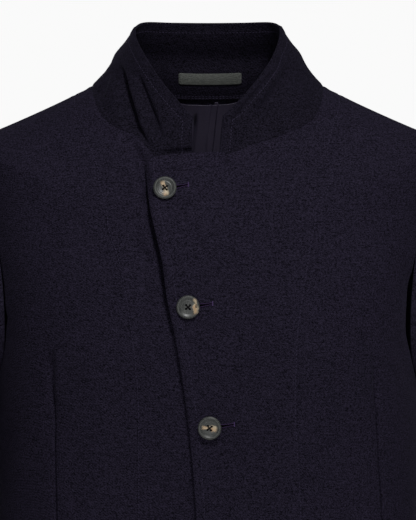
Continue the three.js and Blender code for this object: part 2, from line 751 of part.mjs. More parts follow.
const wholeBack = { points: bothBacks("points"), normals: bothBacks("normals") };
const liningRows = stops(0.12, LINING_ROWS);
const leftLining = patch(
  wholeBack,
  liningRows,
  stops(backColumns - LINING_COLUMNS, backColumns + 0.12),
  () => LINING_DEPTH,
);
const rightLining = patch(
  wholeBack,
  liningRows,
  stops(backColumns - PLEAT_LAP, backColumns + LINING_COLUMNS),
  (column) => LINING_DEPTH + 1.6 * (1 - ease(column, backColumns + 0.3, backColumns + 1)),
);
add("lining_left", wall(leftLining, LINING_CLOTH), LINING_LOOK);
add("lining_right", wall(rightLining, LINING_CLOTH), LINING_LOOK);

// Buttons: a dished disc with a raised rim and four holes
const wasm = await Module();
wasm.setup();

function toManifold(geometry) {
  const plain = geometry.clone();
  plain.deleteAttribute("normal");
  plain.deleteAttribute("uv");
  const merged = BufferGeometryUtils.mergeVertices(plain, 1e-4);
  return new wasm.Manifold(new wasm.Mesh({
    numProp: 3,
    vertProperties: new Float32Array(merged.attributes.position.array),
    triVerts: new Uint32Array(merged.index.array),
  }));
}

function fromManifold(solid) {
  const mesh = solid.getMesh();
  const geometry = new THREE.BufferGeometry();
  geometry.setAttribute("position", new THREE.Float32BufferAttribute(mesh.vertProperties, 3));
  geometry.setIndex(Array.from(mesh.triVerts));
  geometry.computeVertexNormals();
  return geometry;
}

function buttonGeometry(holeTurn) {
  const r = BUTTON_RADIUS;
  const h = BUTTON_THICKNESS;
  const profile = [
    [0, 0], [r * 0.72, 0], [r * 0.93, h * 0.22], [r, h * 0.5], [r * 0.97, h * 0.82],
    [r * 0.9, h], [r * 0.82, h], [r * 0.74, h * 0.86], [r * 0.55, h * 0.74], [0, h * 0.68],
  ].map(([x, y]) => new THREE.Vector2(x, y));
  const disc = new THREE.LatheGeometry(profile, 26);
  let solid = toManifold(disc);
  for (let k = 0; k < 4; k += 1) {
    const turn = (holeTurn + 90 * k) * RADIANS;
    const hole = new THREE.CylinderGeometry(BUTTON_HOLE_RADIUS, BUTTON_HOLE_RADIUS, 3 * h, 10);
    hole.translate(
      Math.cos(turn) * BUTTON_HOLE_OFFSET * Math.SQRT2,
      h / 2,
      Math.sin(turn) * BUTTON_HOLE_OFFSET * Math.SQRT2,
    );
    solid = solid.subtract(toManifold(hole));
  }
  return fromManifold(solid);
}

// The plane that a button lies on, from the left front's cloth all round under its rim
function buttonSeat(x, z) {
  const clothAt = (u, v) => clothPoint(frontPlaces([[x + u, z + v]])[0], lapRise);
  const reach = 0.85 * BUTTON_RADIUS;
  const across = clothAt(reach, 0).sub(clothAt(-reach, 0));
  const up = clothAt(0, reach).sub(clothAt(0, -reach));
  const normal = across.cross(up).normalize();
  const rim = [];
  for (let k = 0; k < 12; k += 1) {
    rim.push(clothAt(reach * Math.cos(k * 30 * RADIANS), reach * Math.sin(k * 30 * RADIANS)));
  }
  rim.push(clothAt(0, 0));
  const highest = Math.max(...rim.map((point) => point.dot(normal)));
  const centre = clothAt(0, 0);
  return { centre: centre.addScaledVector(normal, highest - centre.dot(normal)), normal };
}

const BUTTON_LIFT = 0.35; // over the highest of the cloth underneath
BUTTONS.forEach(([x, z, holeTurn], i) => {
  const { centre, normal } = buttonSeat(x, z);
  const geometry = buttonGeometry(holeTurn);
  const facing = new THREE.Quaternion().setFromUnitVectors(new THREE.Vector3(0, 1, 0), normal);
  geometry.applyQuaternion(facing);
  const seat = centre.addScaledVector(normal, BUTTON_LIFT);
  geometry.translate(seat.x, seat.y, seat.z);
  add(`button_${i + 1}`, geometry, BUTTON_LOOK);
});

export default garment;
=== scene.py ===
import math
import random

import bmesh
import bpy
import numpy as np
from mathutils import Matrix, Vector
from mathutils.bvhtree import BVHTree


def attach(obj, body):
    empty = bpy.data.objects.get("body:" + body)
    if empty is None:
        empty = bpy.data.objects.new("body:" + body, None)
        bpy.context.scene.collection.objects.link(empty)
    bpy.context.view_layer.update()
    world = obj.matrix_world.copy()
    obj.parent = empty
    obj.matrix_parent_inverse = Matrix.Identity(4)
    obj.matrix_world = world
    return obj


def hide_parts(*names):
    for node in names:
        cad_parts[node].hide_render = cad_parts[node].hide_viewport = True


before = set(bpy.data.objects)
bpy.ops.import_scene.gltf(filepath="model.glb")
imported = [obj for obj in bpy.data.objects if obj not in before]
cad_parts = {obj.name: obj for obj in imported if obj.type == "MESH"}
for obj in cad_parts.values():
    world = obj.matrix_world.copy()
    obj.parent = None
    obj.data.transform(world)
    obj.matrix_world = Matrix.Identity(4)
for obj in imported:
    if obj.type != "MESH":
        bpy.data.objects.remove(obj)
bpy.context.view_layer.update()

MM = 0.001

# Walls of cloth, in millimetres
CLOTH = 1.9
COLLAR_CLOTH = 2.6
LINING_CLOTH = 0.8
LABEL_CLOTH = 0.6
LAP_RISE = 2.5

# The place that the seams are given from, as they are seen
VIEW_DISTANCE = 3000
VIEW_HEIGHT = -158
CHEST_FRONT = -110

# The body's form, ring by ring from the hem to inside the neck:
# half width; y of front, side, back; z of front, side, back; fullness of front, back
BODY_RINGS = np.array([
    [212, -126, 6, 126, -742, -738, -736, 0.26, 0.22],
    [210, -125, 6, 124, -660, -656, -654, 0.26, 0.22],
    [207, -122, 5, 118, -580, -576, -572, 0.25, 0.22],
    [203.5, -118, 4, 104, -505, -500, -498, 0.24, 0.22],
    [200.5, -117, 3, 93, -432, -430, -430, 0.23, 0.22],
    [200.5, -122, 3, 98, -362, -362, -362, 0.24, 0.22],
    [200, -129, 4, 111, -298, -304, -300, 0.26, 0.24],
    [201, -132, 6, 120, -236, -250, -242, 0.3, 0.26],
    [209, -127, 8, 124, -176, -180, -180, 0.3, 0.24],
    [221, -117, 9, 120, -128, -98, -118, 0.16, 0.14],
    [229, -112, 9.5, 115.5, -112, -47, -96, 0.07, 0.06],
    [227, -107, 10, 111, -98, -44, -76, 0.02, 0.02],
    [198, -100, 11, 102, -84, -32.5, -48, 0.0, 0.0],
    [166, -96, 12, 95, -76, -18.5, -26, 0.02, 0.0],
    [133, -92, 13, 89, -69, -3, -10, 0.06, 0.02],
    [109, -88, 13, 84, -62, 10, 0, 0.1, 0.04],
    [92, -82, 13, 78, -48, 30, 14, 0.1, 0.04],
], float)
NECK_RING = 15
SHOULDER_RING = 11
SHOULDER_SEAM_ANGLE = 97
SIDE_SEAM_ANGLE = 94

# Seams and edges as seen from the front: x, z
LEFT_FREE_EDGE = [
    [-55.5, -65], [-54.7, -91], [-50.1, -121], [-40.9, -161], [-36.3, -195], [-28, -235],
    [-20.7, -281], [-15.2, -327], [-9.7, -397], [-7, -450], [-4, -520], [3, -590],
    [14, -650], [32, -704], [58, -738],
]
RIGHT_FREE_EDGE = [
    [52, -82], [51, -104], [47, -130], [39, -165], [33, -200], [25, -240],
    [18, -285], [13, -330], [9, -397], [6, -450], [3, -520], [-4, -590],
    [-15, -650], [-33, -704], [-59, -738],
]
LEFT_TOP_EDGE = [[-55.5, -65], [-28, -61.6], [-8, -60], [12, -58.5]]
RIGHT_TOP_EDGE = [[52, -82], [30, -79], [5, -76], [-17, -74]]
LEFT_GORGE = [
    [12, -58.5], [23.5, -58.6], [41.9, -51], [69.5, -41.8], [85, -36], [97, -28],
    [103.5, -16], [106.3, -2],
]
RIGHT_GORGE = [
    [-17, -74], [-33, -73], [-46.5, -66], [-53.5, -57], [-64.9, -44], [-83.3, -35.5],
    [-96, -27], [-103, -13], [-106, -2],
]
LEFT_PRINCESS = [
    [122.8, -12], [115.5, -41.4], [112.7, -66.2], [105.3, -103], [100.7, -124],
    [94.3, -158], [89.7, -189], [85.1, -220], [83.3, -257], [82.3, -287],
    [83.3, -317], [86.9, -379], [89, -430], [92, -520], [96, -640], [99, -738],
]
RIGHT_PRINCESS = [
    [-123.7, -14], [-115.5, -40.5], [-106.3, -63.5], [-101.7, -84.6], [-96.1, -105.8],
    [-92.5, -130.6], [-85.1, -151.8], [-78.7, -179.4], [-73.1, -213.4], [-68.5, -250.2],
    [-65.8, -280.6], [-64.9, -317.4], [-64.9, -397.4], [-66, -440], [-72, -540],
    [-79, -640], [-84, -738],
]

# The armhole as seen from the side: y, z, from the underarm up
ARMHOLE_FRONT = [[-24, -266], [-44, -246], [-55, -213], [-57, -170], [-49, -120], [-27, -74]]
ARMHOLE_BACK = [[36, -265], [58, -244], [69, -210], [70, -165], [62, -115], [45, -76]]
UNDERARM = [6, -275]

# The sleeve, ring by ring: x, z of the side next to the body; x, z of the outer side;
# y of the middle; half its depth from front to back
SLEEVE_RINGS = np.array([
    [202.5, -276, 238, -48.5, 6, 61],
    [203, -279, 260, -64, 5, 62],
    [203.3, -284, 280, -95, 4, 62],
    [203.6, -291, 295, -138, 2, 62],
    [203.9, -302, 306, -192, 0, 61.5],
    [204.4, -322, 313, -255, -3, 60.5],
    [205.6, -360, 318, -325, -6, 59],
    [208.6, -415, 321, -400, -10, 56.5],
    [215, -485, 322, -480, -16, 53.5],
    [222, -560, 320, -565, -24, 50.5],
    [228, -640, 317, -650, -34, 48],
], float)

# The collar's top edge, from the wearer's left front end round to the right one: x, y, z
COLLAR_TOP_LEFT = [
    [15.3, -74, -24], [30.5, -68, -9], [49.5, -53, 13.5], [62.5, -31, 34], [70, -4, 54],
    [71.3, 18, 66],
]
COLLAR_TOP_BACK = [
    [71.3, 18, 66], [62, 42, 71], [34, 57, 71.5], [0, 62, 71.5], [-34, 57, 71.5],
    [-62, 42, 71], [-70.8, 18, 65],
]
COLLAR_TOP_RIGHT = [
    [-70.8, 18, 65], [-69.5, -4, 54.5], [-61, -31, 36.5], [-44.5, -55, 10.4],
    [-26, -69, -12], [-14.6, -75, -25],
]
COLLAR_HOLLOW = 2.5

# Folds, as seen from the front: points x, z; depth; half width
BODY_FOLDS = [
    ([(-147, -236), (-145, -275), (-142, -330)], -2.2, 10),
    ([(144, -243), (150, -267), (157, -300)], -2.2, 10),
    ([(-70, -140), (-58, -167), (-52, -215)], -1.6, 11),
    ([(183, -150), (187, -200), (189, -260)], -3.0, 12),
    ([(-184, -150), (-187, -200), (-188, -260)], -2.0, 14),
    # the fold beside the lap, and the drag under the right gorge
    ([(-68, -136), (-55, -156), (-41, -180)], -2.6, 4.5),
    ([(-76, -38), (-61, -67), (-56, -90), (-52, -116)], -4.6, 4.6),
    ([(-72, -62), (-64, -92), (-60, -124)], 0.7, 6),
    # the puckers over the two waist darts
    ([(-151, -228), (-147, -252), (-144, -280)], -1.3, 3.2),
    ([(-139, -236), (-140, -258), (-142, -280)], 0.7, 4),
    ([(143, -240), (147, -258), (155, -282)], -1.5, 3.0),
    ([(160, -254), (158, -264), (155, -282)], -1.0, 2.4),
    ([(137, -246), (143, -264), (151, -284)], 0.8, 4),
    # drags at the sides
    ([(189, -166), (190, -200), (187, -244)], -2.6, 5),
    ([(172, -220), (180, -250), (190, -284)], -1.6, 7),
    ([(-181, -302), (-187, -345), (-192, -392)], -2.0, 8),
    ([(-158, -310), (-164, -350), (-173, -400)], -1.2, 9),
    ([(-186, -204), (-191, -216), (-195, -230)], -2.0, 4),
    # long soft undulations of the fronts
    ([(20, -110), (34, -200), (38, -330)], 0.8, 20),
    ([(58, -90), (62, -180), (58, -300)], -0.7, 16),
    ([(-88, -190), (-96, -280), (-100, -380)], 0.7, 14),
    ([(118, -120), (116, -220), (120, -330)], 0.6, 15),
]
BACK_FOLDS = [
    ([(-30, -170), (-36, -300), (-32, -430)], -1.2, 16),
    ([(42, -160), (48, -290), (40, -420)], -1.0, 18),
    ([(120, -150), (128, -230), (118, -330)], -1.8, 12),
    ([(-126, -140), (-132, -220), (-120, -320)], -1.6, 13),
    ([(90, -60), (60, -72), (20, -76)], -0.9, 9),
    ([(-94, -58), (-62, -70), (-24, -74)], -0.9, 9),
    ([(80, -420), (40, -436), (0, -430)], -1.2, 12),
    ([(-84, -414), (-46, -426), (-8, -438)], -1.0, 12),
]
COLLAR_FOLDS = [
    ([(-88, 26), (-80, -2), (-70, -36), (-54, -60)], -10.0, 5.0),
    ([(-79, 22), (-70, -6), (-56, -40), (-46, -58)], 2.6, 4.0),
    ([(-70, 17), (-58, -14), (-43, -50)], -6.0, 3.8),
    ([(-93, 18), (-97, 4), (-100, -9)], -3.4, 2.6),
    ([(-92, 18), (-87, 2), (-82, -16)], -3.2, 2.6),
    ([(-104, 2), (-98, -18), (-86, -32)], -1.6, 5.0),
    ([(85, 26), (66, -2), (44, -34)], -4.6, 5.5),
    ([(79, 41), (64, 17), (42, -8), (23, -31)], -3.0, 2.2),
    ([(76, 34), (56, 4), (36, -24)], 1.1, 5.0),
    ([(90, 18), (88, 8), (85, -2)], -2.8, 2.6),
    ([(97, 12), (95, 0), (93, -11)], -3.0, 2.6),
    ([(104, 4), (100, -10), (92, -26)], -1.4, 4.5),
    ([(-60, -62), (-34, -60), (-6, -57), (12, -54)], -6.5, 3.6),
]
SLEEVE_FOLDS = [
    # round the tube (0 outside, 0.25 in front, 0.5 inside), down it (0 to 1), twice; depth; half width
    ((0.10, 0.30), (0.30, 0.40), -2.0, 9),
    ((0.20, 0.42), (0.44, 0.50), -2.6, 9),
    ((0.14, 0.55), (0.40, 0.60), -1.8, 8),
    ((0.60, 0.44), (0.86, 0.52), -2.2, 10),
    ((0.66, 0.60), (0.90, 0.54), -1.6, 9),
    ((0.04, 0.05), (0.06, 0.30), -1.2, 12),
    ((0.94, 0.10), (0.90, 0.34), -1.2, 12),
]

# The long waist darts as seen from the front: x, z
LEFT_DART = [[155, -280], [156.2, -300], [157, -330], [161.5, -397], [163, -440], [163, -490]]
RIGHT_DART = [[-144, -278], [-142, -292], [-141, -320], [-139.4, -397], [-139, -440], [-139, -490]]

# Buttons: x, z as seen from the front; the turn of the holes in degrees;
# the turn of the horn's streak from upright, and how far it lies from the middle, in radii
BUTTONS = [
    [-39.1, -92.6, 40, 16, 0.0],
    [-18.0, -201.5, 45, 8, 0.62],
    [1.9, -312.5, 38, 78, 0.0],
    [5.5, -424, 45, 40, 0.3],
]
BUTTON_RADIUS = 10.7
BUTTON_THICKNESS = 3.2
BUTTON_HOLE_RADIUS = 1.0
BUTTON_HOLE_OFFSET = 1.75
BUTTON_LIFT = 0.35

# Steps along the seams, as the solids have them
ROWS = 30
SIDE_ROWS = 17
ARM_ROWS = ROWS - SIDE_ROWS
FREE_TOP_COLUMNS = 5
GORGE_COLUMNS = 9
TONGUE_COLUMNS = 2
SHOULDER_COLUMNS = 7
BACK_NECK_COLUMNS = 6
SLEEVE_FRONT_SEAM = 4
SLEEVE_BACK_SEAM = 7
BEND_FADE = 5
COLLAR_ROWS = 7


def mix(a, b, part):
    return a + (b - a) * part


def ease(value, low, high):
    part = np.clip((value - low) / (high - low), 0, 1)
    return part * part * (3 - 2 * part)


def bell(distance, half_width):
    """1 at no distance, and falling softly to nothing past the half width."""
    return np.exp(-((distance / half_width) ** 2))


def unit(vectors):
    size = np.linalg.norm(vectors, axis=-1, keepdims=True)
    return vectors / np.maximum(size, 1e-12)


def curve_between(p0, p1, p2, p3, f):
    """A smooth curve's point between p1 and p2, a part f of the way from p1."""
    slope1, slope2, rise = (p2 - p0) / 2, (p3 - p1) / 2, p2 - p1
    return p1 + f * (slope1 + f * (3 * rise - 2 * slope1 - slope2 + f * (slope1 + slope2 - 2 * rise)))


def table_at(rows, place):
    """A smooth curve through a table's rows, read at row numbers with a fraction."""
    rows = np.asarray(rows, float)
    place = np.asarray(place, float)
    last = len(rows) - 1
    k = np.clip(np.floor(place), 0, last - 1).astype(int)
    f = (place - k)[..., None]
    p1, p2 = rows[k], rows[k + 1]
    p0 = np.where((k > 0)[..., None], rows[np.maximum(k - 1, 0)], 2 * p1 - p2)
    p3 = np.where((k + 2 <= last)[..., None], rows[np.minimum(k + 2, last)], 2 * p2 - p1)
    return curve_between(p0, p1, p2, p3, f)


# ---- the body's form -------------------------------------------------------------------

def body_point(place):
    ring, angle = place[..., 0], np.radians(place[..., 1])
    width, y_front, y_side, y_back, z_front, z_side, z_back, full_front, full_back = np.moveaxis(
        table_at(BODY_RINGS, ring), -1, 0)
    s, c = np.sin(angle), np.cos(angle)
    front = c > 0
    y_end = np.where(front, y_front, y_back)
    z_end = np.where(front, z_front, z_back)
    full = np.where(front, full_front, full_back)
    return np.stack([
        width * s,
        y_side + (y_end - y_side) * np.abs(c) * (1 + full * s * s),
        z_side + (z_end - z_side) * c * c,
    ], axis=-1)


def body_normal(place):
    across = body_point(place + [0, 0.05]) - body_point(place - [0, 0.05])
    up = body_point(place + [0.005, 0]) - body_point(place - [0.005, 0])
    return unit(np.cross(across, up))


def seen_from_front(points):
    scale = VIEW_DISTANCE / (VIEW_DISTANCE + points[..., 1] - CHEST_FRONT)
    return np.stack([
        points[..., 0] * scale,
        VIEW_HEIGHT + (points[..., 2] - VIEW_HEIGHT) * scale,
    ], axis=-1)


def seen_from_side(points):
    return points[..., 1:3]


def find_on_body(seen, targets, low, high):
    """The places (ring, angle) where the body's form is seen at the given points."""
    targets = np.asarray(targets, float).reshape(-1, 2)
    rings = np.arange(0, len(BODY_RINGS) - 0.99, 0.25)
    angles = np.arange(low, high + 0.01, 4)
    search = np.stack(np.meshgrid(rings, angles, indexing="ij"), axis=-1).reshape(-1, 2)
    views = seen(body_point(search))
    far = np.linalg.norm(views[None] - targets[:, None], axis=-1)
    place = search[np.argmin(far, axis=1)].copy()
    for _ in range(14):
        miss = seen(body_point(place)) - targets
        by_ring = (seen(body_point(place + [0.002, 0])) - targets - miss) / 0.002
        by_angle = (seen(body_point(place + [0, 0.05])) - targets - miss) / 0.05
        whole = by_ring[:, 0] * by_angle[:, 1] - by_angle[:, 0] * by_ring[:, 1]
        whole = np.where(np.abs(whole) < 1e-6, np.inf, whole)
        ring_step = (miss[:, 0] * by_angle[:, 1] - miss[:, 1] * by_angle[:, 0]) / whole
        angle_step = (miss[:, 1] * by_ring[:, 0] - miss[:, 0] * by_ring[:, 1]) / whole
        place[:, 0] -= np.clip(ring_step, -0.4, 0.4)
        place[:, 1] -= np.clip(angle_step, -6, 6)
    return place


def front_places(points):
    return find_on_body(seen_from_front, points, -88, 88)


def nearest_on_body(targets, start):
    place = start.copy()
    for _ in range(9):
        here = body_point(place)
        by_ring = (body_point(place + [0.004, 0]) - here) / 0.004
        by_angle = (body_point(place + [0, 0.1]) - here) / 0.1
        miss = targets - here
        rr = np.sum(by_ring * by_ring, axis=-1)
        ra = np.sum(by_ring * by_angle, axis=-1)
        aa = np.sum(by_angle * by_angle, axis=-1)
        mr = np.sum(miss * by_ring, axis=-1)
        ma = np.sum(miss * by_angle, axis=-1)
        whole = rr * aa - ra * ra
        place[..., 0] += np.clip((mr * aa - ma * ra) / whole, -0.5, 0.5)
        place[..., 1] += np.clip((ma * rr - mr * ra) / whole, -8, 8)
    return place


class Seam:
    """A line of places on the body's form, made of stretches that each have a number of even steps."""

    def __init__(self, *stretches):
        self.stretches = []
        for places, steps in stretches:
            places = np.asarray(places, float)
            fine = 24 * (len(places) - 1)
            curve = table_at(places, np.linspace(0, len(places) - 1, fine + 1))
            length = np.linalg.norm(np.diff(body_point(curve), axis=0), axis=-1)
            self.stretches.append((curve, np.concatenate([[0], np.cumsum(length)]), steps))
        self.steps = sum(steps for _, _, steps in self.stretches)

    def at(self, part):
        """Places at parts (0 to 1) of all the steps."""
        part = np.asarray(part, float) * self.steps
        result = np.zeros(part.shape + (2,))
        start = 0
        for n, (curve, reach, steps) in enumerate(self.stretches):
            here = (part >= start) if n else np.ones(part.shape, bool)
            wanted = np.clip((part - start) / steps, 0, 1) * reach[-1]
            for k in range(2):
                result[..., k] = np.where(here, np.interp(wanted, reach, curve[:, k]), result[..., k])
            start += steps
        return result


def surface_at(grid, rows, columns):
    """A smooth sheet through a coarse grid's points, read at rows and columns with fractions."""
    last = grid.shape[1] - 1
    k = np.clip(np.floor(columns), 0, last - 1).astype(int)
    f = (columns - k)[..., None]
    lines = [table_at_own(grid, rows, np.clip(k + step, 0, last)) for step in (-1, 0, 1, 2)]
    lines[0] = np.where((k > 0)[..., None], lines[0], 2 * lines[1] - lines[2])
    lines[3] = np.where((k + 2 <= last)[..., None], lines[3], 2 * lines[2] - lines[1])
    return curve_between(*lines, f)


def table_at_own(grid, rows, column):
    """A smooth curve down one column of a grid, chosen point by point."""
    last = grid.shape[0] - 1
    k = np.clip(np.floor(rows), 0, last - 1).astype(int)
    f = (rows - k)[..., None]
    p1, p2 = grid[k, column], grid[k + 1, column]
    p0 = np.where((k > 0)[..., None], grid[np.maximum(k - 1, 0), column], 2 * p1 - p2)
    p3 = np.where((k + 2 <= last)[..., None], grid[np.minimum(k + 2, last), column], 2 * p2 - p1)
    return curve_between(p0, p1, p2, p3, f)


def coarse_fill(top, bottom, first, last):
    """The panel's places at its own steps along the seams."""
    u, v = np.meshgrid(
        np.linspace(0, 1, top.steps + 1), np.linspace(0, 1, first.steps + 1), indexing="xy")
    top_at, bottom_at = body_point(top.at(u)), body_point(bottom.at(u))
    first_at, last_at = body_point(first.at(v)), body_point(last.at(v))
    part = u[..., None]
    target = mix(first_at, last_at, part)
    target += (top_at - mix(top_at[:, :1], top_at[:, -1:], part)) * (1 - v[..., None]) ** BEND_FADE
    target += (bottom_at - mix(bottom_at[:, :1], bottom_at[:, -1:], part)) * v[..., None] ** BEND_FADE
    places = np.zeros(u.shape + (2,))
    places[:, 0] = first.at(v[:, 0])
    for j in range(1, u.shape[1]):
        places[:, j] = nearest_on_body(target[:, j], places[:, j - 1])
    places[:, -1] = last.at(v[:, -1])
    places[0] = top.at(u[0])
    places[-1] = bottom.at(u[-1])
    return places


def filled(top, bottom, first, last, u, v):
    """Places inside four seams at u (across) and v (down), both grids of rows by columns."""
    coarse = coarse_fill(top, bottom, first, last)
    rows, columns = first.steps, top.steps
    places = surface_at(coarse, v * rows, u * columns)
    fine = np.linspace(0, 1, 40 * max(rows, columns) + 1)
    zero, one = np.zeros_like(fine), np.ones_like(fine)
    for seam, at_rows, at_columns, along, away in (
        (top, zero, fine * columns, u, v * rows),
        (bottom, one * rows, fine * columns, u, (1 - v) * rows),
        (first, fine * rows, zero, v, u * columns),
        (last, fine * rows, one * columns, v, (1 - u) * columns),
    ):
        miss = seam.at(fine) - surface_at(coarse, at_rows, at_columns)
        fade = np.clip(1 - away / 0.8, 0, 1) ** 2
        for k in range(2):
            places[..., k] += np.interp(along, fine, miss[:, k]) * fade
    return places


def along_path(points, spots):
    """Distance of 2-D spots from a path, and how far along it (0 to 1) the nearest point is."""
    path = np.asarray(points, float)
    near = np.full(spots.shape[:-1], np.inf)
    along = np.zeros(spots.shape[:-1])
    count = len(path) - 1
    for k in range(count):
        a, b = path[k], path[k + 1]
        d = b - a
        part = np.clip(((spots - a) @ d) / (d @ d), 0, 1)
        far = np.linalg.norm(spots - (a + part[..., None] * d), axis=-1)
        closer = far < near
        near = np.where(closer, far, near)
        along = np.where(closer, (k + part) / count, along)
    return near, along


def fold_depth(folds, spots):
    depth = np.zeros(spots.shape[:-1])
    for path, deep, half_width in folds:
        near, along = along_path(path, spots)
        taper = ease(along, -0.05, 0.3) * ease(1.05 - along, 0, 0.35)
        depth += deep * taper * bell(near, half_width)
    return depth


def edge_x_at(edge, z):
    edge = np.asarray(edge, float)
    return np.interp(-z, -edge[:, 1], edge[:, 0])


def lap_rise(spots):
    """The left front rises over the right one, and its free edge stands off a little more."""
    x, z = spots[..., 0], spots[..., 1]
    under_edge = edge_x_at(RIGHT_FREE_EDGE, z)
    across = 1 - ease(x, under_edge + 5, under_edge + 32)
    below_seam = mix(1, 1 - ease(z, -73, -62), ease(x, 4, 16))
    free_edge = edge_x_at(LEFT_FREE_EDGE, z)
    standing = 4.0 * ease(-z, 75, 120) * (1 - 0.75 * ease(-z, 170, 330))
    near_edge = bell(x - free_edge, 13)
    return LAP_RISE * across * below_seam + standing * near_edge


def line_distance(points, line):
    """How far each point is from a line of 3-D points."""
    flat = points.reshape(-1, 3)
    a, d = line[:-1], np.diff(line, axis=0)
    size = np.sum(d * d, axis=-1) + 1e-9
    result = np.zeros(len(flat))
    for k in range(0, len(flat), 4000):
        part = flat[k:k + 4000, None] - a[None]
        t = np.clip(np.sum(part * d, axis=-1) / size, 0, 1)
        result[k:k + 4000] = np.sqrt(np.min(np.sum((part - t[..., None] * d) ** 2, axis=-1), axis=-1))
    return result.reshape(points.shape[:-1])


# ---- meshes ------------------------------------------------------------------------------

def spread(count, length, marks=(), fine=(0.5, 1.1, 1.8, 2.7, 4.0, 5.6, 7.5, 10)):
    """Parts from 0 to 1, finer beside the ends and beside each mark (a part itself)."""
    stops = {0.0, 1.0}
    base = np.linspace(0, 1, count + 1)
    close = []
    for mark in [0.0, 1.0, *marks]:
        stops.add(float(mark))
        for step in fine:
            for place in (mark - step / length, mark + step / length):
                if 0 < place < 1:
                    close.append(place)
    reach = fine[-1] / length
    for place in base:
        if all(abs(place - mark) > reach * 1.15 for mark in [0.0, 1.0, *marks]):
            stops.add(float(place))
    for place in close:
        stops.add(float(place))
    ordered = sorted(stops)
    kept = [ordered[0]]
    for place in ordered[1:]:
        if place - kept[-1] > 0.3 / length or place == 1.0:
            if place == 1.0 and place - kept[-1] <= 0.3 / length:
                kept.pop()
            kept.append(place)
    return np.array(kept)


def grid_normals(grid):
    across = np.empty_like(grid)
    across[:, 1:-1] = grid[:, 2:] - grid[:, :-2]
    across[:, 0], across[:, -1] = grid[:, 1] - grid[:, 0], grid[:, -1] - grid[:, -2]
    down = np.empty_like(grid)
    down[1:-1] = grid[2:] - grid[:-2]
    down[0], down[-1] = grid[1] - grid[0], grid[-1] - grid[-2]
    return unit(np.cross(down, across))


def outward_at_rim(grid, normals):
    """For each edge point, the way that leaves the sheet there."""
    way = np.zeros_like(grid)
    way[0] += unit(grid[0] - grid[1])
    way[-1] += unit(grid[-1] - grid[-2])
    way[:, 0] += unit(grid[:, 0] - grid[:, 1])
    way[:, -1] += unit(grid[:, -1] - grid[:, -2])
    way -= normals * np.sum(way * normals, axis=-1, keepdims=True)
    return unit(way)


def rim_order(rows, columns):
    order = [(0, j) for j in range(columns)]
    order += [(i, columns - 1) for i in range(1, rows)]
    order += [(rows - 1, j) for j in range(columns - 2, -1, -1)]
    order += [(i, 0) for i in range(rows - 2, 0, -1)]
    return np.array(order)


def new_piece(name, vertices, faces, finish, place_on_cloth=None):
    """A finished piece in metres, its vertices given in millimetres."""
    mesh = bpy.data.meshes.new(name)
    mesh.from_pydata((np.asarray(vertices) * MM).tolist(), [], faces)
    if place_on_cloth is not None:
        layer = mesh.uv_layers.new(name="cloth_grain")
        corner = np.zeros(len(mesh.loops), dtype=np.int32)
        mesh.loops.foreach_get("vertex_index", corner)
        layer.data.foreach_set("uv", np.asarray(place_on_cloth)[corner].astype(np.float32).ravel())
    mesh.polygons.foreach_set("use_smooth", np.ones(len(mesh.polygons), dtype=bool))
    mesh.materials.append(finish)
    mesh.update()
    piece = bpy.data.objects.new(name, mesh)
    bpy.context.scene.collection.objects.link(piece)
    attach(piece, "root")
    return piece


def grain_of(grid):
    """Where each point lies on the cut cloth, in metres: across from the middle, and down."""
    across = np.linalg.norm(np.diff(grid, axis=1), axis=-1)
    across = np.concatenate([np.zeros((len(grid), 1)), np.cumsum(across, axis=1)], axis=1)
    middle = grid.shape[1] // 2
    across -= across[:, middle:middle + 1]
    down = np.linalg.norm(np.diff(grid, axis=0), axis=-1)
    down = np.concatenate([np.zeros((1, grid.shape[1])), np.cumsum(down, axis=0)])
    return np.stack([across, grid[:1, :, 2] - down], axis=-1) * MM


def cloth_piece(name, grid, normals, thickness, finish, round_by=(0, 0, 0, 0)):
    """A closed thin sheet: the grid is its outer face. round_by rounds the top, bottom, first, last rims."""
    rows, columns = grid.shape[:2]
    facing = np.sum(grid_normals(grid) * normals)
    if facing < 0:
        grid, normals = grid[:, ::-1], normals[:, ::-1]
        round_by = (round_by[0], round_by[1], round_by[3], round_by[2])
    inner = grid - normals * thickness
    number = np.arange(rows * columns).reshape(rows, columns)
    order = rim_order(rows, columns)
    way = outward_at_rim(grid, normals)
    swell = np.zeros((rows, columns))
    swell[0], swell[-1] = round_by[0], round_by[1]
    swell[1:-1, 0], swell[1:-1, -1] = round_by[2], round_by[3]
    rims = []
    for depth, out in ((0.18, 0.62), (0.5, 1.0), (0.82, 0.62)):
        points = grid - normals * thickness * depth + way * (swell * out)[..., None]
        rims.append(points[order[:, 0], order[:, 1]])
    vertices = np.concatenate([grid.reshape(-1, 3), inner.reshape(-1, 3), *rims])
    a, b = number[:-1, :-1].ravel(), number[1:, :-1].ravel()
    c, d = number[1:, 1:].ravel(), number[:-1, 1:].ravel()
    outer_faces = np.stack([a, b, c, d], axis=1)
    inner_faces = np.stack([a, d, c, b], axis=1) + rows * columns
    total = rows * columns
    size = len(order)
    loops = [number[order[:, 0], order[:, 1]]]
    loops += [np.arange(size) + 2 * total + k * size for k in range(3)]
    loops.append(loops[0] + total)
    side_faces = []
    for one, two in zip(loops[:-1], loops[1:]):
        side_faces.append(np.stack([one, np.roll(one, -1), np.roll(two, -1), two], axis=1))
    faces = np.concatenate([outer_faces, inner_faces, *side_faces]).tolist()
    grain = grain_of(grid)
    rim_grain = grain[order[:, 0], order[:, 1]]
    flat = grain.reshape(-1, 2)
    places = np.concatenate([flat, flat, rim_grain, rim_grain, rim_grain])
    piece = new_piece(name, vertices, faces, finish, places)
    tree = BVHTree.FromPolygons(vertices[:total].tolist(), outer_faces.tolist())
    back_tree = BVHTree.FromPolygons(vertices[total:2 * total].tolist(), (inner_faces - total).tolist())
    return piece, {"grid": grid, "outside": tree, "inside": back_tree}


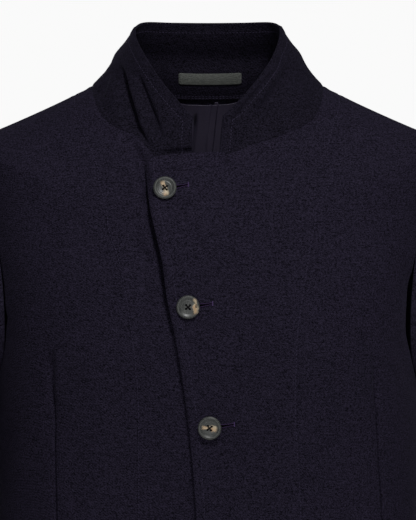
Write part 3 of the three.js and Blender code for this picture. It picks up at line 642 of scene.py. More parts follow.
def capsule(start, end, up, half_width, half_height):
    """One short stitch between two points, lying on the cloth: its vertices and faces."""
    start, end, up = (np.array(value, float) for value in (start, end, up))
    along = end - start
    length = np.linalg.norm(along)
    along /= max(length, 1e-9)
    side = np.cross(along, up)
    side /= max(np.linalg.norm(side), 1e-9)
    up = np.cross(side, along)
    vertices = [start - up * half_height * 0.6]
    for part, size in ((0.12, 0.75), (0.5, 1.0), (0.88, 0.75)):
        middle = start + along * length * part
        for k in range(6):
            turn = k * math.pi / 3
            vertices.append(
                middle + side * math.cos(turn) * half_width * size + up * math.sin(turn) * half_height * size)
    vertices.append(end - up * half_height * 0.6)
    faces = []
    for k in range(6):
        n = (k + 1) % 6
        faces.append((0, 1 + k, 1 + n))
        faces.append((1 + k, 7 + k, 7 + n, 1 + n))
        faces.append((7 + k, 13 + k, 13 + n, 7 + n))
        faces.append((13 + k, 19, 13 + n))
    return vertices, faces


def even_path(points, step):
    points = np.asarray(points, float)
    reach = np.concatenate([[0], np.cumsum(np.linalg.norm(np.diff(points, axis=0), axis=-1))])
    count = max(2, int(reach[-1] / step))
    wanted = np.linspace(0, reach[-1], count + 1)
    return np.stack([np.interp(wanted, reach, points[:, k]) for k in range(points.shape[1])], axis=-1)


STITCH_SINK = 0.03


class Needlework:
    """Stitches gathered up and made one piece."""

    def __init__(self):
        self.vertices, self.faces = [], []

    def add(self, vertices, faces):
        start = len(self.vertices)
        self.vertices.extend(vertices)
        self.faces.extend(tuple(v + start for v in face) for face in faces)

    def run(self, path, tree, pitch=3.4, length=2.2, width=0.27, height=0.24):
        """A row of stitches along a path, laid on a cloth's face."""
        points = even_path(path, pitch)
        for k in range(len(points) - 1):
            a = points[k]
            b = a + (points[k + 1] - a) * (length / pitch)
            hit_a, normal_a, _, _ = tree.find_nearest(Vector(a))
            hit_b, normal_b, _, _ = tree.find_nearest(Vector(b))
            normal = np.array(normal_a + normal_b)
            normal /= max(np.linalg.norm(normal), 1e-9)
            lift = normal * (height * 0.5 - STITCH_SINK)
            self.add(*capsule(np.array(hit_a) + lift, np.array(hit_b) + lift, normal, width, height))

    def finish(self, name, finish, slot):
        return new_piece(name, self.vertices, self.faces, finish)


def inset_line(grid, edge, distance, start=0.0, end=1.0):
    """A line of points on a grid, a distance in from one of its edges (top, bottom, first or last)."""
    if edge in ("top", "bottom"):
        grid = np.swapaxes(grid, 0, 1)
        edge = "first" if edge == "top" else "last"
    if edge == "last":
        grid = grid[:, ::-1]
    rim = grid[:, 0]
    along = np.empty_like(rim)
    along[1:-1] = rim[2:] - rim[:-2]
    along[0], along[-1] = rim[1] - rim[0], rim[-1] - rim[-2]
    along = unit(along)
    inner = grid[:, min(6, grid.shape[1] - 1)] - rim
    inward = unit(inner - along * np.sum(inner * along, axis=-1, keepdims=True))
    line = rim + inward * distance
    low, high = int(round(start * (len(line) - 1))), int(round(end * (len(line) - 1)))
    return line[low:high + 1]


# ---- finishes ----------------------------------------------------------------------------

def srgb(r, g, b):
    def linear(value):
        value /= 255
        return value / 12.92 if value <= 0.04045 else ((value + 0.055) / 1.055) ** 2.4
    return (linear(r), linear(g), linear(b), 1.0)


def node_group(name, inputs, outputs):
    group = bpy.data.node_groups.new(name, "ShaderNodeTree")
    for label, kind, value in inputs:
        socket = group.interface.new_socket(name=label, in_out="INPUT", socket_type=kind)
        if value is not None:
            socket.default_value = value
    for label, kind in outputs:
        group.interface.new_socket(name=label, in_out="OUTPUT", socket_type=kind)
    return group, group.nodes.new("NodeGroupInput"), group.nodes.new("NodeGroupOutput")


class Bench:
    """Adds and joins nodes in one tree."""

    def __init__(self, tree):
        self.tree = tree

    def node(self, kind, **settings):
        node = self.tree.nodes.new(kind)
        for key, value in settings.items():
            setattr(node, key, value)
        return node

    def join(self, source, target):
        self.tree.links.new(source, target)

    def put(self, value, target):
        if isinstance(value, (int, float, tuple)):
            target.default_value = value
        else:
            self.join(value, target)

    def math(self, operation, *values):
        node = self.node("ShaderNodeMath", operation=operation)
        for socket, value in zip(node.inputs, values):
            self.put(value, socket)
        return node.outputs[0]

    def add(self, a, b):
        return self.math("ADD", a, b)

    def times(self, a, b):
        return self.math("MULTIPLY", a, b)

    def sine(self, value):
        return self.math("SINE", value)

    def centred(self, value):
        return self.math("SUBTRACT", value, 0.5)

    def split(self, vector):
        node = self.node("ShaderNodeSeparateXYZ")
        self.join(vector, node.inputs["Vector"])
        return node.outputs["X"], node.outputs["Y"], node.outputs["Z"]

    def place(self):
        return self.node("ShaderNodeTexCoord").outputs["Object"]

    def grain(self):
        return self.node("ShaderNodeUVMap", uv_map="cloth_grain").outputs["UV"]

    def noise(self, vector, scale, detail=3.0, rough=0.5):
        node = self.node("ShaderNodeTexNoise")
        self.join(vector, node.inputs["Vector"])
        self.put(scale, node.inputs["Scale"])
        node.inputs["Detail"].default_value = detail
        node.inputs["Roughness"].default_value = rough
        return node.outputs["Fac"]

    def stretched(self, vector, *scale):
        node = self.node("ShaderNodeMapping")
        self.join(vector, node.inputs["Vector"])
        node.inputs["Scale"].default_value = scale
        return node.outputs["Vector"]

    def blend(self, part, a, b):
        node = self.node("ShaderNodeMix", data_type="RGBA")
        self.put(part, node.inputs["Factor"])
        self.put(a, node.inputs["A"])
        self.put(b, node.inputs["B"])
        return node.outputs["Result"]

    def ranged(self, value, low, high, to_low, to_high):
        node = self.node("ShaderNodeMapRange", clamp=True)
        self.put(value, node.inputs["Value"])
        for label, number in (("From Min", low), ("From Max", high), ("To Min", to_low), ("To Max", to_high)):
            node.inputs[label].default_value = number
        return node.outputs["Result"]

    def bump(self, shader, height, strength, distance):
        node = self.node("ShaderNodeBump")
        node.inputs["Strength"].default_value = strength
        node.inputs["Distance"].default_value = distance
        self.join(height, node.inputs["Height"])
        self.join(node.outputs["Normal"], shader.inputs["Normal"])


def make_twill_group():
    """Worsted twill: slanted ribs broken into short floats, uneven yarns, fuzz."""
    group, take, give = node_group(
        "fine_twill",
        [
            ("Grain", "NodeSocketVector", None),
            ("Pitch", "NodeSocketFloat", 420.0), ("Slub", "NodeSocketFloat", 1.0),
        ],
        [("Height", "NodeSocketFloat"), ("Shade", "NodeSocketFloat")],
    )
    bench = Bench(group)
    grain, pitch = take.outputs["Grain"], take.outputs["Pitch"]
    x, y, z = bench.split(grain)
    wobble = bench.times(bench.noise(grain, 190.0, 2.0), 0.0024)
    slant = bench.add(bench.add(bench.add(x, z), y), wobble)
    ribs = bench.sine(bench.times(bench.times(slant, pitch), 6.283))
    level = bench.add(z, bench.times(wobble, 0.6))
    floats = bench.sine(bench.times(bench.times(level, pitch), 8.1))
    weave = bench.add(bench.times(ribs, 0.40), bench.times(floats, 0.10))
    yarns = bench.centred(bench.noise(bench.stretched(grain, 680.0, 680.0, 1000.0), 1.0, 1.0, 0.7))
    weft = bench.centred(bench.noise(bench.stretched(grain, 90.0, 90.0, 700.0), 1.0, 2.0))
    uneven = bench.add(bench.times(yarns, 10.5), bench.times(weft, 2.4))
    uneven = bench.times(uneven, take.outputs["Slub"])
    fuzz = bench.centred(bench.noise(grain, 2600.0, 2.0))
    height = bench.add(bench.times(weave, 0.6), bench.times(uneven, 0.30))
    bench.join(bench.add(height, bench.times(fuzz, 0.5)), give.inputs["Height"])
    shade = bench.add(bench.times(weave, 0.9), uneven)
    bench.join(bench.add(shade, bench.times(fuzz, 0.6)), give.inputs["Shade"])
    return group


def new_finish(name, **constants):
    """A material with a plain shader; constants are set on its sockets, with _ for a space."""
    finish = bpy.data.materials.new(name)
    finish.use_nodes = True
    shader = finish.node_tree.nodes["Principled BSDF"]
    for label, value in constants.items():
        shader.inputs[label.replace("_", " ")].default_value = value
    return finish, Bench(finish.node_tree), shader


def make_cloth_finish(
        name, dark, light, pitch=420.0, slub=1.0, rough=0.85, shine=0.08, sheen=0.03, depth=0.0004):
    finish, bench, shader = new_finish(
        name, Specular_IOR_Level=shine,
        Sheen_Weight=sheen, Sheen_Roughness=0.45, Sheen_Tint=(0.55, 0.5, 0.8, 1.0))
    place = bench.place()
    weave = bench.node("ShaderNodeGroup", node_tree=twill)
    bench.join(place, weave.inputs["Grain"])
    weave.inputs["Pitch"].default_value = pitch
    weave.inputs["Slub"].default_value = slub
    wear = bench.centred(bench.noise(place, 14.0, 4.0))
    shade = bench.add(weave.outputs["Shade"], bench.times(wear, 0.5))
    part = bench.ranged(shade, -2.2, 2.2, 0.0, 1.0)
    bench.join(bench.blend(part, dark, light), shader.inputs["Base Color"])
    roughness = bench.ranged(weave.outputs["Shade"], -1.0, 1.0, rough + 0.08, rough - 0.08)
    bench.join(roughness, shader.inputs["Roughness"])
    bench.bump(shader, weave.outputs["Height"], 0.5, depth)
    return finish


def make_thread_finish(name, dark, light):
    finish, bench, shader = new_finish(name, Roughness=0.6, Specular_IOR_Level=0.12)
    ply = bench.noise(bench.place(), 2400.0, 2.0)
    bench.join(bench.blend(bench.ranged(ply, 0.3, 0.7, 0.0, 1.0), dark, light), shader.inputs["Base Color"])
    bench.bump(shader, ply, 0.4, 0.0001)
    return finish


def make_horn_finish():
    """Polished horn: smoky grey, with one cloudy cream and tan streak across each button."""
    finish, bench, shader = new_finish(
        "streaked_horn", Specular_IOR_Level=0.45, Coat_Weight=0.08, Coat_Roughness=0.25)
    face = bench.grain()
    across, along, _ = bench.split(face)
    cloud = bench.noise(bench.place(), 170.0, 3.0, 0.6)
    fine = bench.noise(bench.stretched(face, 12.0, 2.0, 1.0), 1.0, 4.0, 0.6)
    wander = bench.times(bench.centred(cloud), 0.9)
    band = bench.ranged(bench.math("ABSOLUTE", bench.add(across, wander)), 0.24, 0.08, 0.0, 1.0)
    ends = bench.ranged(bench.math("ABSOLUTE", along), 0.72, 0.5, 0.0, 1.0)
    patch = bench.ranged(bench.add(fine, cloud), 0.75, 1.1, 0.25, 1.0)
    streak = bench.times(bench.times(band, ends), patch)
    smoke = bench.blend(bench.ranged(fine, 0.35, 0.65, 0.0, 1.0), srgb(38, 40, 40), srgb(68, 70, 67))
    cream = bench.blend(bench.ranged(cloud, 0.4, 0.6, 0.0, 1.0), srgb(214, 196, 164), srgb(168, 140, 108))
    bench.join(bench.blend(streak, smoke, cream), shader.inputs["Base Color"])
    bench.join(bench.ranged(fine, 0.3, 0.7, 0.36, 0.5), shader.inputs["Roughness"])
    bench.bump(shader, fine, 0.15, 0.0001)
    return finish


def make_label_finish():
    """Bare woven tape: grey-green, with fine crossed threads."""
    finish, bench, shader = new_finish("woven_label_tape", Roughness=0.55, Sheen_Weight=0.15)
    grain = bench.grain()
    across, down, _ = bench.split(grain)
    cross = bench.times(bench.sine(bench.times(down, 14000.0)), bench.sine(bench.times(across, 11000.0)))
    cloud = bench.noise(bench.stretched(grain, 220.0, 900.0, 1.0), 1.0, 3.0)
    part = bench.ranged(bench.add(bench.times(cross, 0.16), cloud), 0.25, 0.8, 0.0, 1.0)
    bench.join(bench.blend(part, srgb(54, 57, 54), srgb(84, 87, 82)), shader.inputs["Base Color"])
    bench.bump(shader, cross, 0.5, 0.00015)
    return finish


def make_floor_finish():
    finish, bench, shader = new_finish("pale_studio_floor", Roughness=0.9)
    cloud = bench.noise(bench.place(), 1.6, 3.0)
    grey = bench.blend(cloud, (0.80, 0.80, 0.80, 1.0), (0.84, 0.84, 0.84, 1.0))
    bench.join(grey, shader.inputs["Base Color"])
    return finish


twill = make_twill_group()
cloth = make_cloth_finish("navy_twill", (0.0004, 0.0002, 0.0016, 1.0), (0.0206, 0.0164, 0.0338, 1.0))
# The collar gets a darker copy of the navy twill: painted shade, standing for the shade on the collar's sides
# and inside.
collar_cloth = make_cloth_finish(
    "navy_twill_darkened_for_shade", (0.0002, 0.0001, 0.0008, 1.0), (0.0130, 0.0106, 0.0216, 1.0), shine=0.07)
lining_cloth = make_cloth_finish(
    "purple_grey_satin", srgb(36, 33, 46), srgb(60, 54, 71), 1400.0, 0.3, 0.40, 0.35, 0.15, 0.00012)
seam_thread = make_thread_finish("navy_seam_thread", srgb(36, 32, 48), srgb(63, 57, 80))
buttonhole_thread = make_thread_finish("purple_buttonhole_thread", srgb(30, 22, 40), srgb(66, 48, 86))
# The buttonhole's cord is a gimp cord made near-black: painted shadow, standing for the dark gap of the cut
# slit.
slit_cord_and_shadow_finish, _, _ = new_finish(
    "buttonhole_slit_painted_shadow", Base_Color=(0.0006, 0.0005, 0.0008, 1.0), Roughness=0.95, Specular_IOR_Level=0.02)
bar_thread = make_thread_finish("purple_bar_thread", srgb(44, 32, 60), srgb(84, 66, 110))
button_thread = make_thread_finish("dark_button_thread", srgb(3, 2, 4), srgb(14, 10, 14))
horn = make_horn_finish()
label_tape = make_label_finish()


# ---- seams shared by the pieces ------------------------------------------------------------

def side_seams(side):
    neck = [NECK_RING, side * SHOULDER_SEAM_ANGLE]
    princess_top = [NECK_RING - 0.62, side * SHOULDER_SEAM_ANGLE]
    shoulder_point = [SHOULDER_RING, side * SHOULDER_SEAM_ANGLE]

    def on_side(points):
        low, high = (20, 160) if side > 0 else (-160, -20)
        return find_on_body(seen_from_side, points, low, high)

    underarm = on_side([UNDERARM])[0]
    underarm[1] = side * SIDE_SEAM_ANGLE
    gorge = np.vstack([front_places(LEFT_GORGE if side > 0 else RIGHT_GORGE), [neck]])
    princess = np.vstack([[princess_top], front_places(LEFT_PRINCESS if side > 0 else RIGHT_PRINCESS)])
    arm_front = np.vstack([[underarm], on_side(ARMHOLE_FRONT), [shoulder_point]])
    arm_back = np.vstack([[underarm], on_side(ARMHOLE_BACK), [shoulder_point]])
    side_line = np.array([underarm, [5, side * SIDE_SEAM_ANGLE], [0, side * SIDE_SEAM_ANGLE]])
    back_neck = np.array([[NECK_RING, side * 180], neck], float)
    centre = np.array([[NECK_RING, side * 180], [7, side * 180], [0, side * 180]], float)
    tongue = np.array([neck, princess_top], float)
    shoulder = np.array([princess_top, shoulder_point], float)
    return {
        "gorge": gorge, "princess": princess, "arm_front": arm_front, "arm_back": arm_back,
        "side": side_line, "back_neck": back_neck, "centre": centre, "tongue": tongue,
        "shoulder": shoulder,
    }


SEAM_STITCH = 1.7  # how far rows of stitches are from their seam or edge
CURVED_SEAM_STITCH = 1.5
COLLAR_SEAM_STITCH = 1.6
EDGE_STITCH = 8.0  # down the free edges of both fronts
TOP_EDGE_STITCH = 7.4
COLLAR_STITCH = 8.6
HEM_DEPTH = 30
CUFF_DEPTH = 28
HAIR = -0.04  # how far sewn rims are let out, so that no light comes through a seam
SLEEVE_TUCK = -0.4  # the same for a sleeve's top, which shows more
TURNED_IN = 1.2  # how far the collar's foot is drawn in


def relief(distance, stitch_at, strength):
    """How a sewn edge lies: it dips at the seam, swells over its turned-in cloth, dips under the stitches."""
    dip = -0.62 * bell(distance, 0.95)
    swell = 0.34 * bell(distance - 3.6, 2.6)
    line = -0.26 * bell(distance - stitch_at, 0.7)
    return strength * (dip + swell + line)


def sewn_points(grid, normals, amounts):
    """Draws the grid's sewn rims in by a hair: top, bottom, first, last."""
    way = outward_at_rim(grid, normals)
    pull = np.zeros(grid.shape[:2])
    pull[0], pull[-1] = amounts[0], amounts[1]
    pull[:, 0] = np.maximum(pull[:, 0], amounts[2])
    pull[:, -1] = np.maximum(pull[:, -1], amounts[3])
    return grid - way * pull[..., None]


def puckers(distance, along, size, wave):
    """Fine gathers that stitching leaves beside a seam."""
    uneven = np.sin(along / wave * 2 * np.pi + 1.7 * np.sin(along / 41.0))
    uneven = uneven * (0.6 + 0.4 * np.sin(along / 67.0 + 1.0))
    return size * uneven * bell(distance, 6.0)


def seam_points(seam, count=240):
    return body_point(seam.at(np.linspace(0, 1, count + 1)))


def far_from(form, *stretches):
    """How far each point of a form is from a seam, given as its stretches."""
    return line_distance(form, seam_points(Seam(*stretches)))


def hem_between(first, last, steps):
    ends = [first.at(np.array(1.0)), last.at(np.array(1.0))]
    return Seam((np.array(ends), steps))


def body_panels(side, seams):
    front_edge = LEFT_FREE_EDGE if side > 0 else RIGHT_FREE_EDGE
    top_edge = LEFT_TOP_EDGE if side > 0 else RIGHT_TOP_EDGE
    name = "left" if side > 0 else "right"
    panels = {}

    # the front: free edge, its top edge and the gorge, the shoulder-to-hem seam
    last = Seam((seams["tongue"], TONGUE_COLUMNS), (seams["princess"], ROWS))
    first = Seam((front_places(front_edge), last.steps))
    top = Seam((front_places(top_edge), FREE_TOP_COLUMNS), (seams["gorge"], GORGE_COLUMNS))
    bottom = hem_between(first, last, top.steps)
    columns = spread(52, 125, marks=(FREE_TOP_COLUMNS / top.steps,))
    u, v = np.meshgrid(columns, spread(170, 700), indexing="xy")
    places = filled(top, bottom, first, last, u, v)
    form, normals = body_point(places), body_normal(places)
    spots = seen_from_front(form)
    to_princess = far_from(form, (seams["princess"], ROWS))
    to_tongue = line_distance(form, seam_points(Seam((seams["tongue"], TONGUE_COLUMNS)), 30))
    to_gorge = far_from(form, (seams["gorge"], GORGE_COLUMNS))
    to_top = far_from(form, (front_places(top_edge), FREE_TOP_COLUMNS))
    to_edge = line_distance(form, seam_points(first))
    to_hem = line_distance(form, seam_points(bottom))
    move = fold_depth(BODY_FOLDS, spots)
    if side > 0:
        move += lap_rise(spots)
    else:
        beside = edge_x_at(LEFT_FREE_EDGE, spots[..., 1]) + 1.0 - spots[..., 0]
        deep = 7.5 * ease(-spots[..., 1], 66, 100) * (1 - 0.86 * ease(-spots[..., 1], 160, 235))
        move -= deep * bell(beside, np.where(beside > 0, 5.5, 12.0))
    move += relief(to_princess, SEAM_STITCH, 0.5) + relief(to_gorge, CURVED_SEAM_STITCH, 0.8)
    move += relief(to_tongue, SEAM_STITCH, 0.8)
    move += puckers(to_princess, form[..., 2], 0.16, 17)
    for gap, reach in ((to_edge, EDGE_STITCH), (to_top, TOP_EDGE_STITCH)):
        move += -0.34 * bell(gap - reach, 0.85) - 0.45 * bell(gap, 1.0)
        move += 0.2 * bell(gap - reach * 0.5, reach * 0.3)
    move += puckers(np.abs(to_edge - EDGE_STITCH), form[..., 2], 0.1, 13)
    move += -0.3 * bell(to_hem - HEM_DEPTH, 1.2)
    grid = sewn_points(form + normals * move[..., None], normals, (HAIR, 0, 0, HAIR))
    panels["front"] = cloth_piece(
        f"front_{name}_cloth", grid, normals, CLOTH, cloth, (0.5, 0.7, 0.7, 0))
    panels["front_rows"] = grid

    # the side of the front, with the long waist dart
    arm_side = Seam((seams["arm_front"][::-1], ARM_ROWS), (seams["side"], SIDE_ROWS))
    princess = Seam((seams["princess"], ROWS))
    top = Seam((seams["shoulder"], SHOULDER_COLUMNS))
    bottom = hem_between(princess, arm_side, SHOULDER_COLUMNS)
    dart = np.array(LEFT_DART if side > 0 else RIGHT_DART, float)
    rows_v = spread(170, 740)
    coarse_u, coarse_v = np.meshgrid(np.linspace(0, 1, 41), rows_v, indexing="xy")
    coarse = seen_from_front(body_point(filled(top, bottom, princess, arm_side, coarse_u, coarse_v)))
    dart_u = np.empty(len(rows_v))
    for i in range(len(rows_v)):
        x = coarse[i, :, 0] * side
        want = np.interp(-coarse[i, :, 1], -dart[:, 1], dart[:, 0] * side)
        miss = x - want
        cross = np.argmax(miss > 0) if np.any(miss > 0) else len(miss) - 1
        cross = max(1, cross)
        part = -miss[cross - 1] / max(1e-6, miss[cross] - miss[cross - 1])
        dart_u[i] = (cross - 1 + np.clip(part, 0, 1)) / 40
    seen_z = coarse[:, 20, 1]
    typical = float(np.interp(340, -seen_z, dart_u))
    dart_u = np.where(seen_z > -250, np.interp(250, -seen_z, dart_u), dart_u)
    dart_u = np.clip(np.convolve(np.pad(dart_u, 4, mode="edge"), np.ones(9) / 9, mode="valid"), 0.2, 0.85)
    beside_dart = typical + np.array([-0.0062, -0.0032, 0.0032, 0.0062])
    base_u = np.unique(np.concatenate([spread(46, 120, marks=(typical,)), beside_dart]))
    u = np.empty((len(rows_v), len(base_u)))
    for i in range(len(rows_v)):
        u[i] = np.where(
            base_u <= typical,
            base_u * dart_u[i] / typical,
            1 - (1 - base_u) * (1 - dart_u[i]) / (1 - typical),
        )
    v = np.repeat(rows_v[:, None], u.shape[1], axis=1)
    places = filled(top, bottom, princess, arm_side, u, v)
    form, normals = body_point(places), body_normal(places)
    spots = seen_from_front(form)
    to_princess = line_distance(form, seam_points(princess))
    to_arm = far_from(form, (seams["arm_front"], ARM_ROWS))
    to_side = far_from(form, (seams["side"], SIDE_ROWS))
    to_shoulder = line_distance(form, seam_points(top))
    to_hem = line_distance(form, seam_points(bottom))
    move = fold_depth(BODY_FOLDS, spots) * (np.abs(places[..., 1]) < 90)
    move += relief(to_princess, SEAM_STITCH, 0.5) + relief(to_side, SEAM_STITCH, 0.8)
    move += relief(to_shoulder, SEAM_STITCH, 0.8) + relief(to_arm, CURVED_SEAM_STITCH, 0.9)
    move += puckers(to_princess, form[..., 2], 0.16, 17)
    across = line_distance(form, form[:, int(np.argmin(np.abs(base_u - typical)))])
    down = -spots[..., 1]
    crisp = ease(down, 274, 286) * (1 - ease(down, 455, 492))
    soft = ease(down, 232, 272) * (1 - ease(down, 276, 300))
    move += crisp * (-4.6 * bell(across, 0.75) - 0.5 * bell(across, 4.0))
    move += soft * (-2.6 * bell(across, 2.6) + 0.9 * bell(across - 6.5, 3.0))
    move += -0.3 * bell(to_hem - HEM_DEPTH, 1.2)
    grid = sewn_points(form + normals * move[..., None], normals, (HAIR, 0, HAIR, HAIR))
    panels["side_front"] = cloth_piece(
        f"side_front_{name}_cloth", grid, normals, CLOTH, cloth, (0, 0.7, 0, 0))
    panels["side_front_rows"] = grid

    # the back: centre seam, neck, shoulder, armhole, side
    arm_back = Seam((seams["arm_back"][::-1], ARM_ROWS), (seams["side"], SIDE_ROWS))
    centre = Seam((seams["centre"], ROWS))
    top = Seam(
        (seams["back_neck"], BACK_NECK_COLUMNS), (seams["tongue"], TONGUE_COLUMNS),
        (seams["shoulder"], SHOULDER_COLUMNS))
    bottom = hem_between(centre, arm_back, top.steps)
    u, v = np.meshgrid(spread(60, 230), spread(150, 740), indexing="xy")
    places = filled(top, bottom, centre, arm_back, u, v)
    form, normals = body_point(places), body_normal(places)
    spots = form[..., [0, 2]]
    to_centre = line_distance(form, seam_points(centre))
    to_arm = far_from(form, (seams["arm_back"], ARM_ROWS))
    to_side = far_from(form, (seams["side"], SIDE_ROWS))
    to_neck = far_from(form, (seams["back_neck"], BACK_NECK_COLUMNS))
    to_shoulder = far_from(
        form, (seams["tongue"], TONGUE_COLUMNS), (seams["shoulder"], SHOULDER_COLUMNS))
    to_hem = line_distance(form, seam_points(bottom))
    move = fold_depth(BACK_FOLDS, spots) * (form[..., 1] > 20)
    move += relief(to_centre, SEAM_STITCH, 0.9) + relief(to_side, SEAM_STITCH, 0.8)
    move += relief(to_shoulder, SEAM_STITCH, 0.8)
    move += relief(to_arm, CURVED_SEAM_STITCH, 0.9) + relief(to_neck, CURVED_SEAM_STITCH, 0.8)
    move += -0.3 * bell(to_hem - HEM_DEPTH, 1.2)
    grid = sewn_points(form + normals * move[..., None], normals, (HAIR, 0, HAIR, HAIR))
    panels["back"] = cloth_piece(f"back_{name}_cloth", grid, normals, CLOTH, cloth, (0, 0.7, 0, 0))
    panels["back_rows"] = grid
    panels["back_normals"] = normals
    panels["back_u"], panels["back_v"] = u[0], v[:, 0]
    return panels


seams = {1: side_seams(1), -1: side_seams(-1)}
panels = {side: body_panels(side, seams[side]) for side in (1, -1)}


# ---- sleeves -----------------------------------------------------------------------------

def sleeve_pieces(side):
    name = "left" if side > 0 else "right"
    own = seams[side]
    loop = Seam((own["arm_front"][::-1], ARM_ROWS), (own["arm_back"], ARM_ROWS))
    steps = loop.steps
    front_seam = (steps / 2 - SLEEVE_FRONT_SEAM) / steps
    back_seam = (steps / 2 + SLEEVE_BACK_SEAM) / steps
    down = spread(96, 600)
    result = {}
    ranges = (("top_sleeve", back_seam - 1, front_seam), ("under_sleeve", front_seam, back_seam))

    def tube(round_part, down_part):
        turn = round_part * 2 * np.pi
        place = down_part * len(SLEEVE_RINGS) - 1
        inner_x, inner_z, outer_x, outer_z, y_middle, half_depth = np.moveaxis(
            table_at(SLEEVE_RINGS, np.maximum(place, 0)), -1, 0)
        c = (1 + np.cos(turn)) / 2
        ring = np.stack([
            side * mix(inner_x, outer_x, c), y_middle - half_depth * np.sin(turn), mix(inner_z, outer_z, c),
        ], axis=-1)
        armhole = body_point(loop.at(np.mod(round_part, 1.0)))
        start = np.clip(place + 1, 0, 1)[..., None]
        return np.where(place[..., None] < 0, mix(armhole, ring, start), ring)

    for piece, low, high in ranges:
        count = 74 if piece == "top_sleeve" else 52
        length = 250 if piece == "top_sleeve" else 130
        part = low + (high - low) * spread(count, length)
        r, d = np.meshgrid(part, down, indexing="xy")
        form = tube(r, d)
        step = 0.002
        across = tube(r + step, d) - tube(r - step, d)
        along = tube(r, np.minimum(d + step, 1)) - tube(r, np.maximum(d - step, 0))
        normals = unit(np.cross(across, along)) * side
        middle = tube(np.linspace(0, 1, 9)[None, :-1], np.full((1, 8), 0.5)).mean(axis=1)[0]
        probe = form[len(down) // 2] - middle
        if np.sum(probe * normals[len(down) // 2]) < 0:
            normals = -normals
        spots = np.stack([np.mod(r, 1.0) * 360, d * 600], axis=-1)
        move = np.zeros(r.shape)
        for start, end, deep, half_width in SLEEVE_FOLDS:
            path = [(start[0] * 360, start[1] * 600), (end[0] * 360, end[1] * 600)]
            near, along_it = along_path(path, spots)
            move += deep * np.sin(np.pi * np.clip(along_it, 0.04, 0.96)) * bell(near, half_width)
        reach = line_distance(form, form[:, 0])
        other = line_distance(form, form[:, -1])
        to_top = line_distance(form, form[0])
        to_cuff = line_distance(form, form[-1])
        move += relief(reach, SEAM_STITCH, 0.7) + relief(other, SEAM_STITCH, 0.7)
        move += relief(to_top, CURVED_SEAM_STITCH, 0.9)
        move += -0.3 * bell(to_cuff - CUFF_DEPTH, 1.2)
        grid = sewn_points(form + normals * move[..., None], normals, (SLEEVE_TUCK, 0, HAIR, HAIR))
        result[piece] = cloth_piece(
            f"{piece}_{name}_cloth", grid, normals, CLOTH, cloth, (0, 0.7, 0, 0))
    return result


sleeves = {side: sleeve_pieces(side) for side in (1, -1)}


# ---- the collar ----------------------------------------------------------------------------

def smooth_line(points, parts):
    curve = table_at(points, np.linspace(0, len(points) - 1, 241))
    reach = np.concatenate([[0], np.cumsum(np.linalg.norm(np.diff(curve, axis=0), axis=-1))])
    wanted = parts * reach[-1]
    return np.stack([np.interp(wanted, reach, curve[:, k]) for k in range(3)], axis=-1)


def collar_sheet():
    seam = Seam(
        (seams[1]["gorge"], GORGE_COLUMNS), (seams[1]["back_neck"][::-1], BACK_NECK_COLUMNS),
        (seams[-1]["back_neck"], BACK_NECK_COLUMNS), (seams[-1]["gorge"][::-1], GORGE_COLUMNS))
    columns = spread(250, 480)
    steps = columns * seam.steps
    tops = np.zeros((len(columns), 3))
    for start, count, table in (
        (0, GORGE_COLUMNS, COLLAR_TOP_LEFT),
        (GORGE_COLUMNS, 2 * BACK_NECK_COLUMNS, COLLAR_TOP_BACK),
        (GORGE_COLUMNS + 2 * BACK_NECK_COLUMNS, GORGE_COLUMNS, COLLAR_TOP_RIGHT),
    ):
        inside = (steps >= start - 1e-9) & (steps <= start + count + 1e-9)
        tops[inside] = smooth_line(table, np.clip((steps[inside] - start) / count, 0, 1))
    feet = body_point(seam.at(columns))
    down = spread(34, 75)
    part = down[:, None, None]
    grid = tops[None] + (feet - tops)[None] * part
    middle = np.array([0.0, 0.0, 20.0])
    inward = middle - grid
    inward[..., 2] = 0
    inward = unit(inward)
    move = np.repeat((COLLAR_HOLLOW * np.sin(np.pi * down))[:, None], len(columns), axis=1)
    folds = fold_depth(COLLAR_FOLDS, seen_from_front(grid)) * (grid[..., 1] < 30)
    move -= folds * (ease(down, 0.0, 0.14) * (1 - 0.8 * ease(down, 0.93, 1.0)))[:, None]
    at_back = ease(grid[..., 1], -10, 40)
    move += at_back * -5.5 * bell(down[:, None] - 0.46, 0.19)
    grid = grid + inward * move[..., None]
    normals = grid_normals(grid)
    out = grid - middle
    if np.sum(normals[..., :2] * out[..., :2]) < 0:
        normals = -normals
    to_top = line_distance(grid, grid[0])
    to_foot = line_distance(grid, grid[-1])
    to_left = line_distance(grid, grid[:, 0])
    to_right = line_distance(grid, grid[:, -1])
    rim = np.minimum(np.minimum(to_top, to_left), to_right)
    bump = -0.42 * bell(rim - COLLAR_STITCH, 0.9) + 0.25 * bell(rim - 4.3, 3.0)
    bump += relief(to_foot, COLLAR_SEAM_STITCH, 0.7)
    bump += puckers(np.abs(rim - COLLAR_STITCH), np.cumsum(np.full(grid.shape[:2], 1.9), axis=1), 0.09, 11)
    grid = sewn_points(grid + normals * bump[..., None], normals, (0, -TURNED_IN, 0, 0))
    # its finish is the darker copy of the twill, painted shade
    piece, parts = cloth_piece(
        "collar_cloth", grid, normals, COLLAR_CLOTH, collar_cloth, (1.2, 0, 1.0, 1.0))
    return piece, parts, grid, normals, columns, down


collar, collar_parts, collar_grid, collar_normals, collar_columns, collar_down = collar_sheet()


def read_grid(grid, row_stops, column_stops, rows, columns):
    """Points of a grid at any rows and columns (given as its own stops), by straight steps between them."""
    i = np.interp(rows, row_stops, np.arange(len(row_stops)))
    j = np.interp(columns, column_stops, np.arange(len(column_stops)))
    i0 = np.clip(np.floor(i).astype(int), 0, len(row_stops) - 2)
    j0 = np.clip(np.floor(j).astype(int), 0, len(column_stops) - 2)
    fi, fj = (i - i0)[..., None], (j - j0)[..., None]
    top = mix(grid[i0, j0], grid[i0, j0 + 1], fj)
    bottom = mix(grid[i0 + 1, j0], grid[i0 + 1, j0 + 1], fj)
    return mix(top, bottom, fi)


# ---- the label, bare -----------------------------------------------------------------------

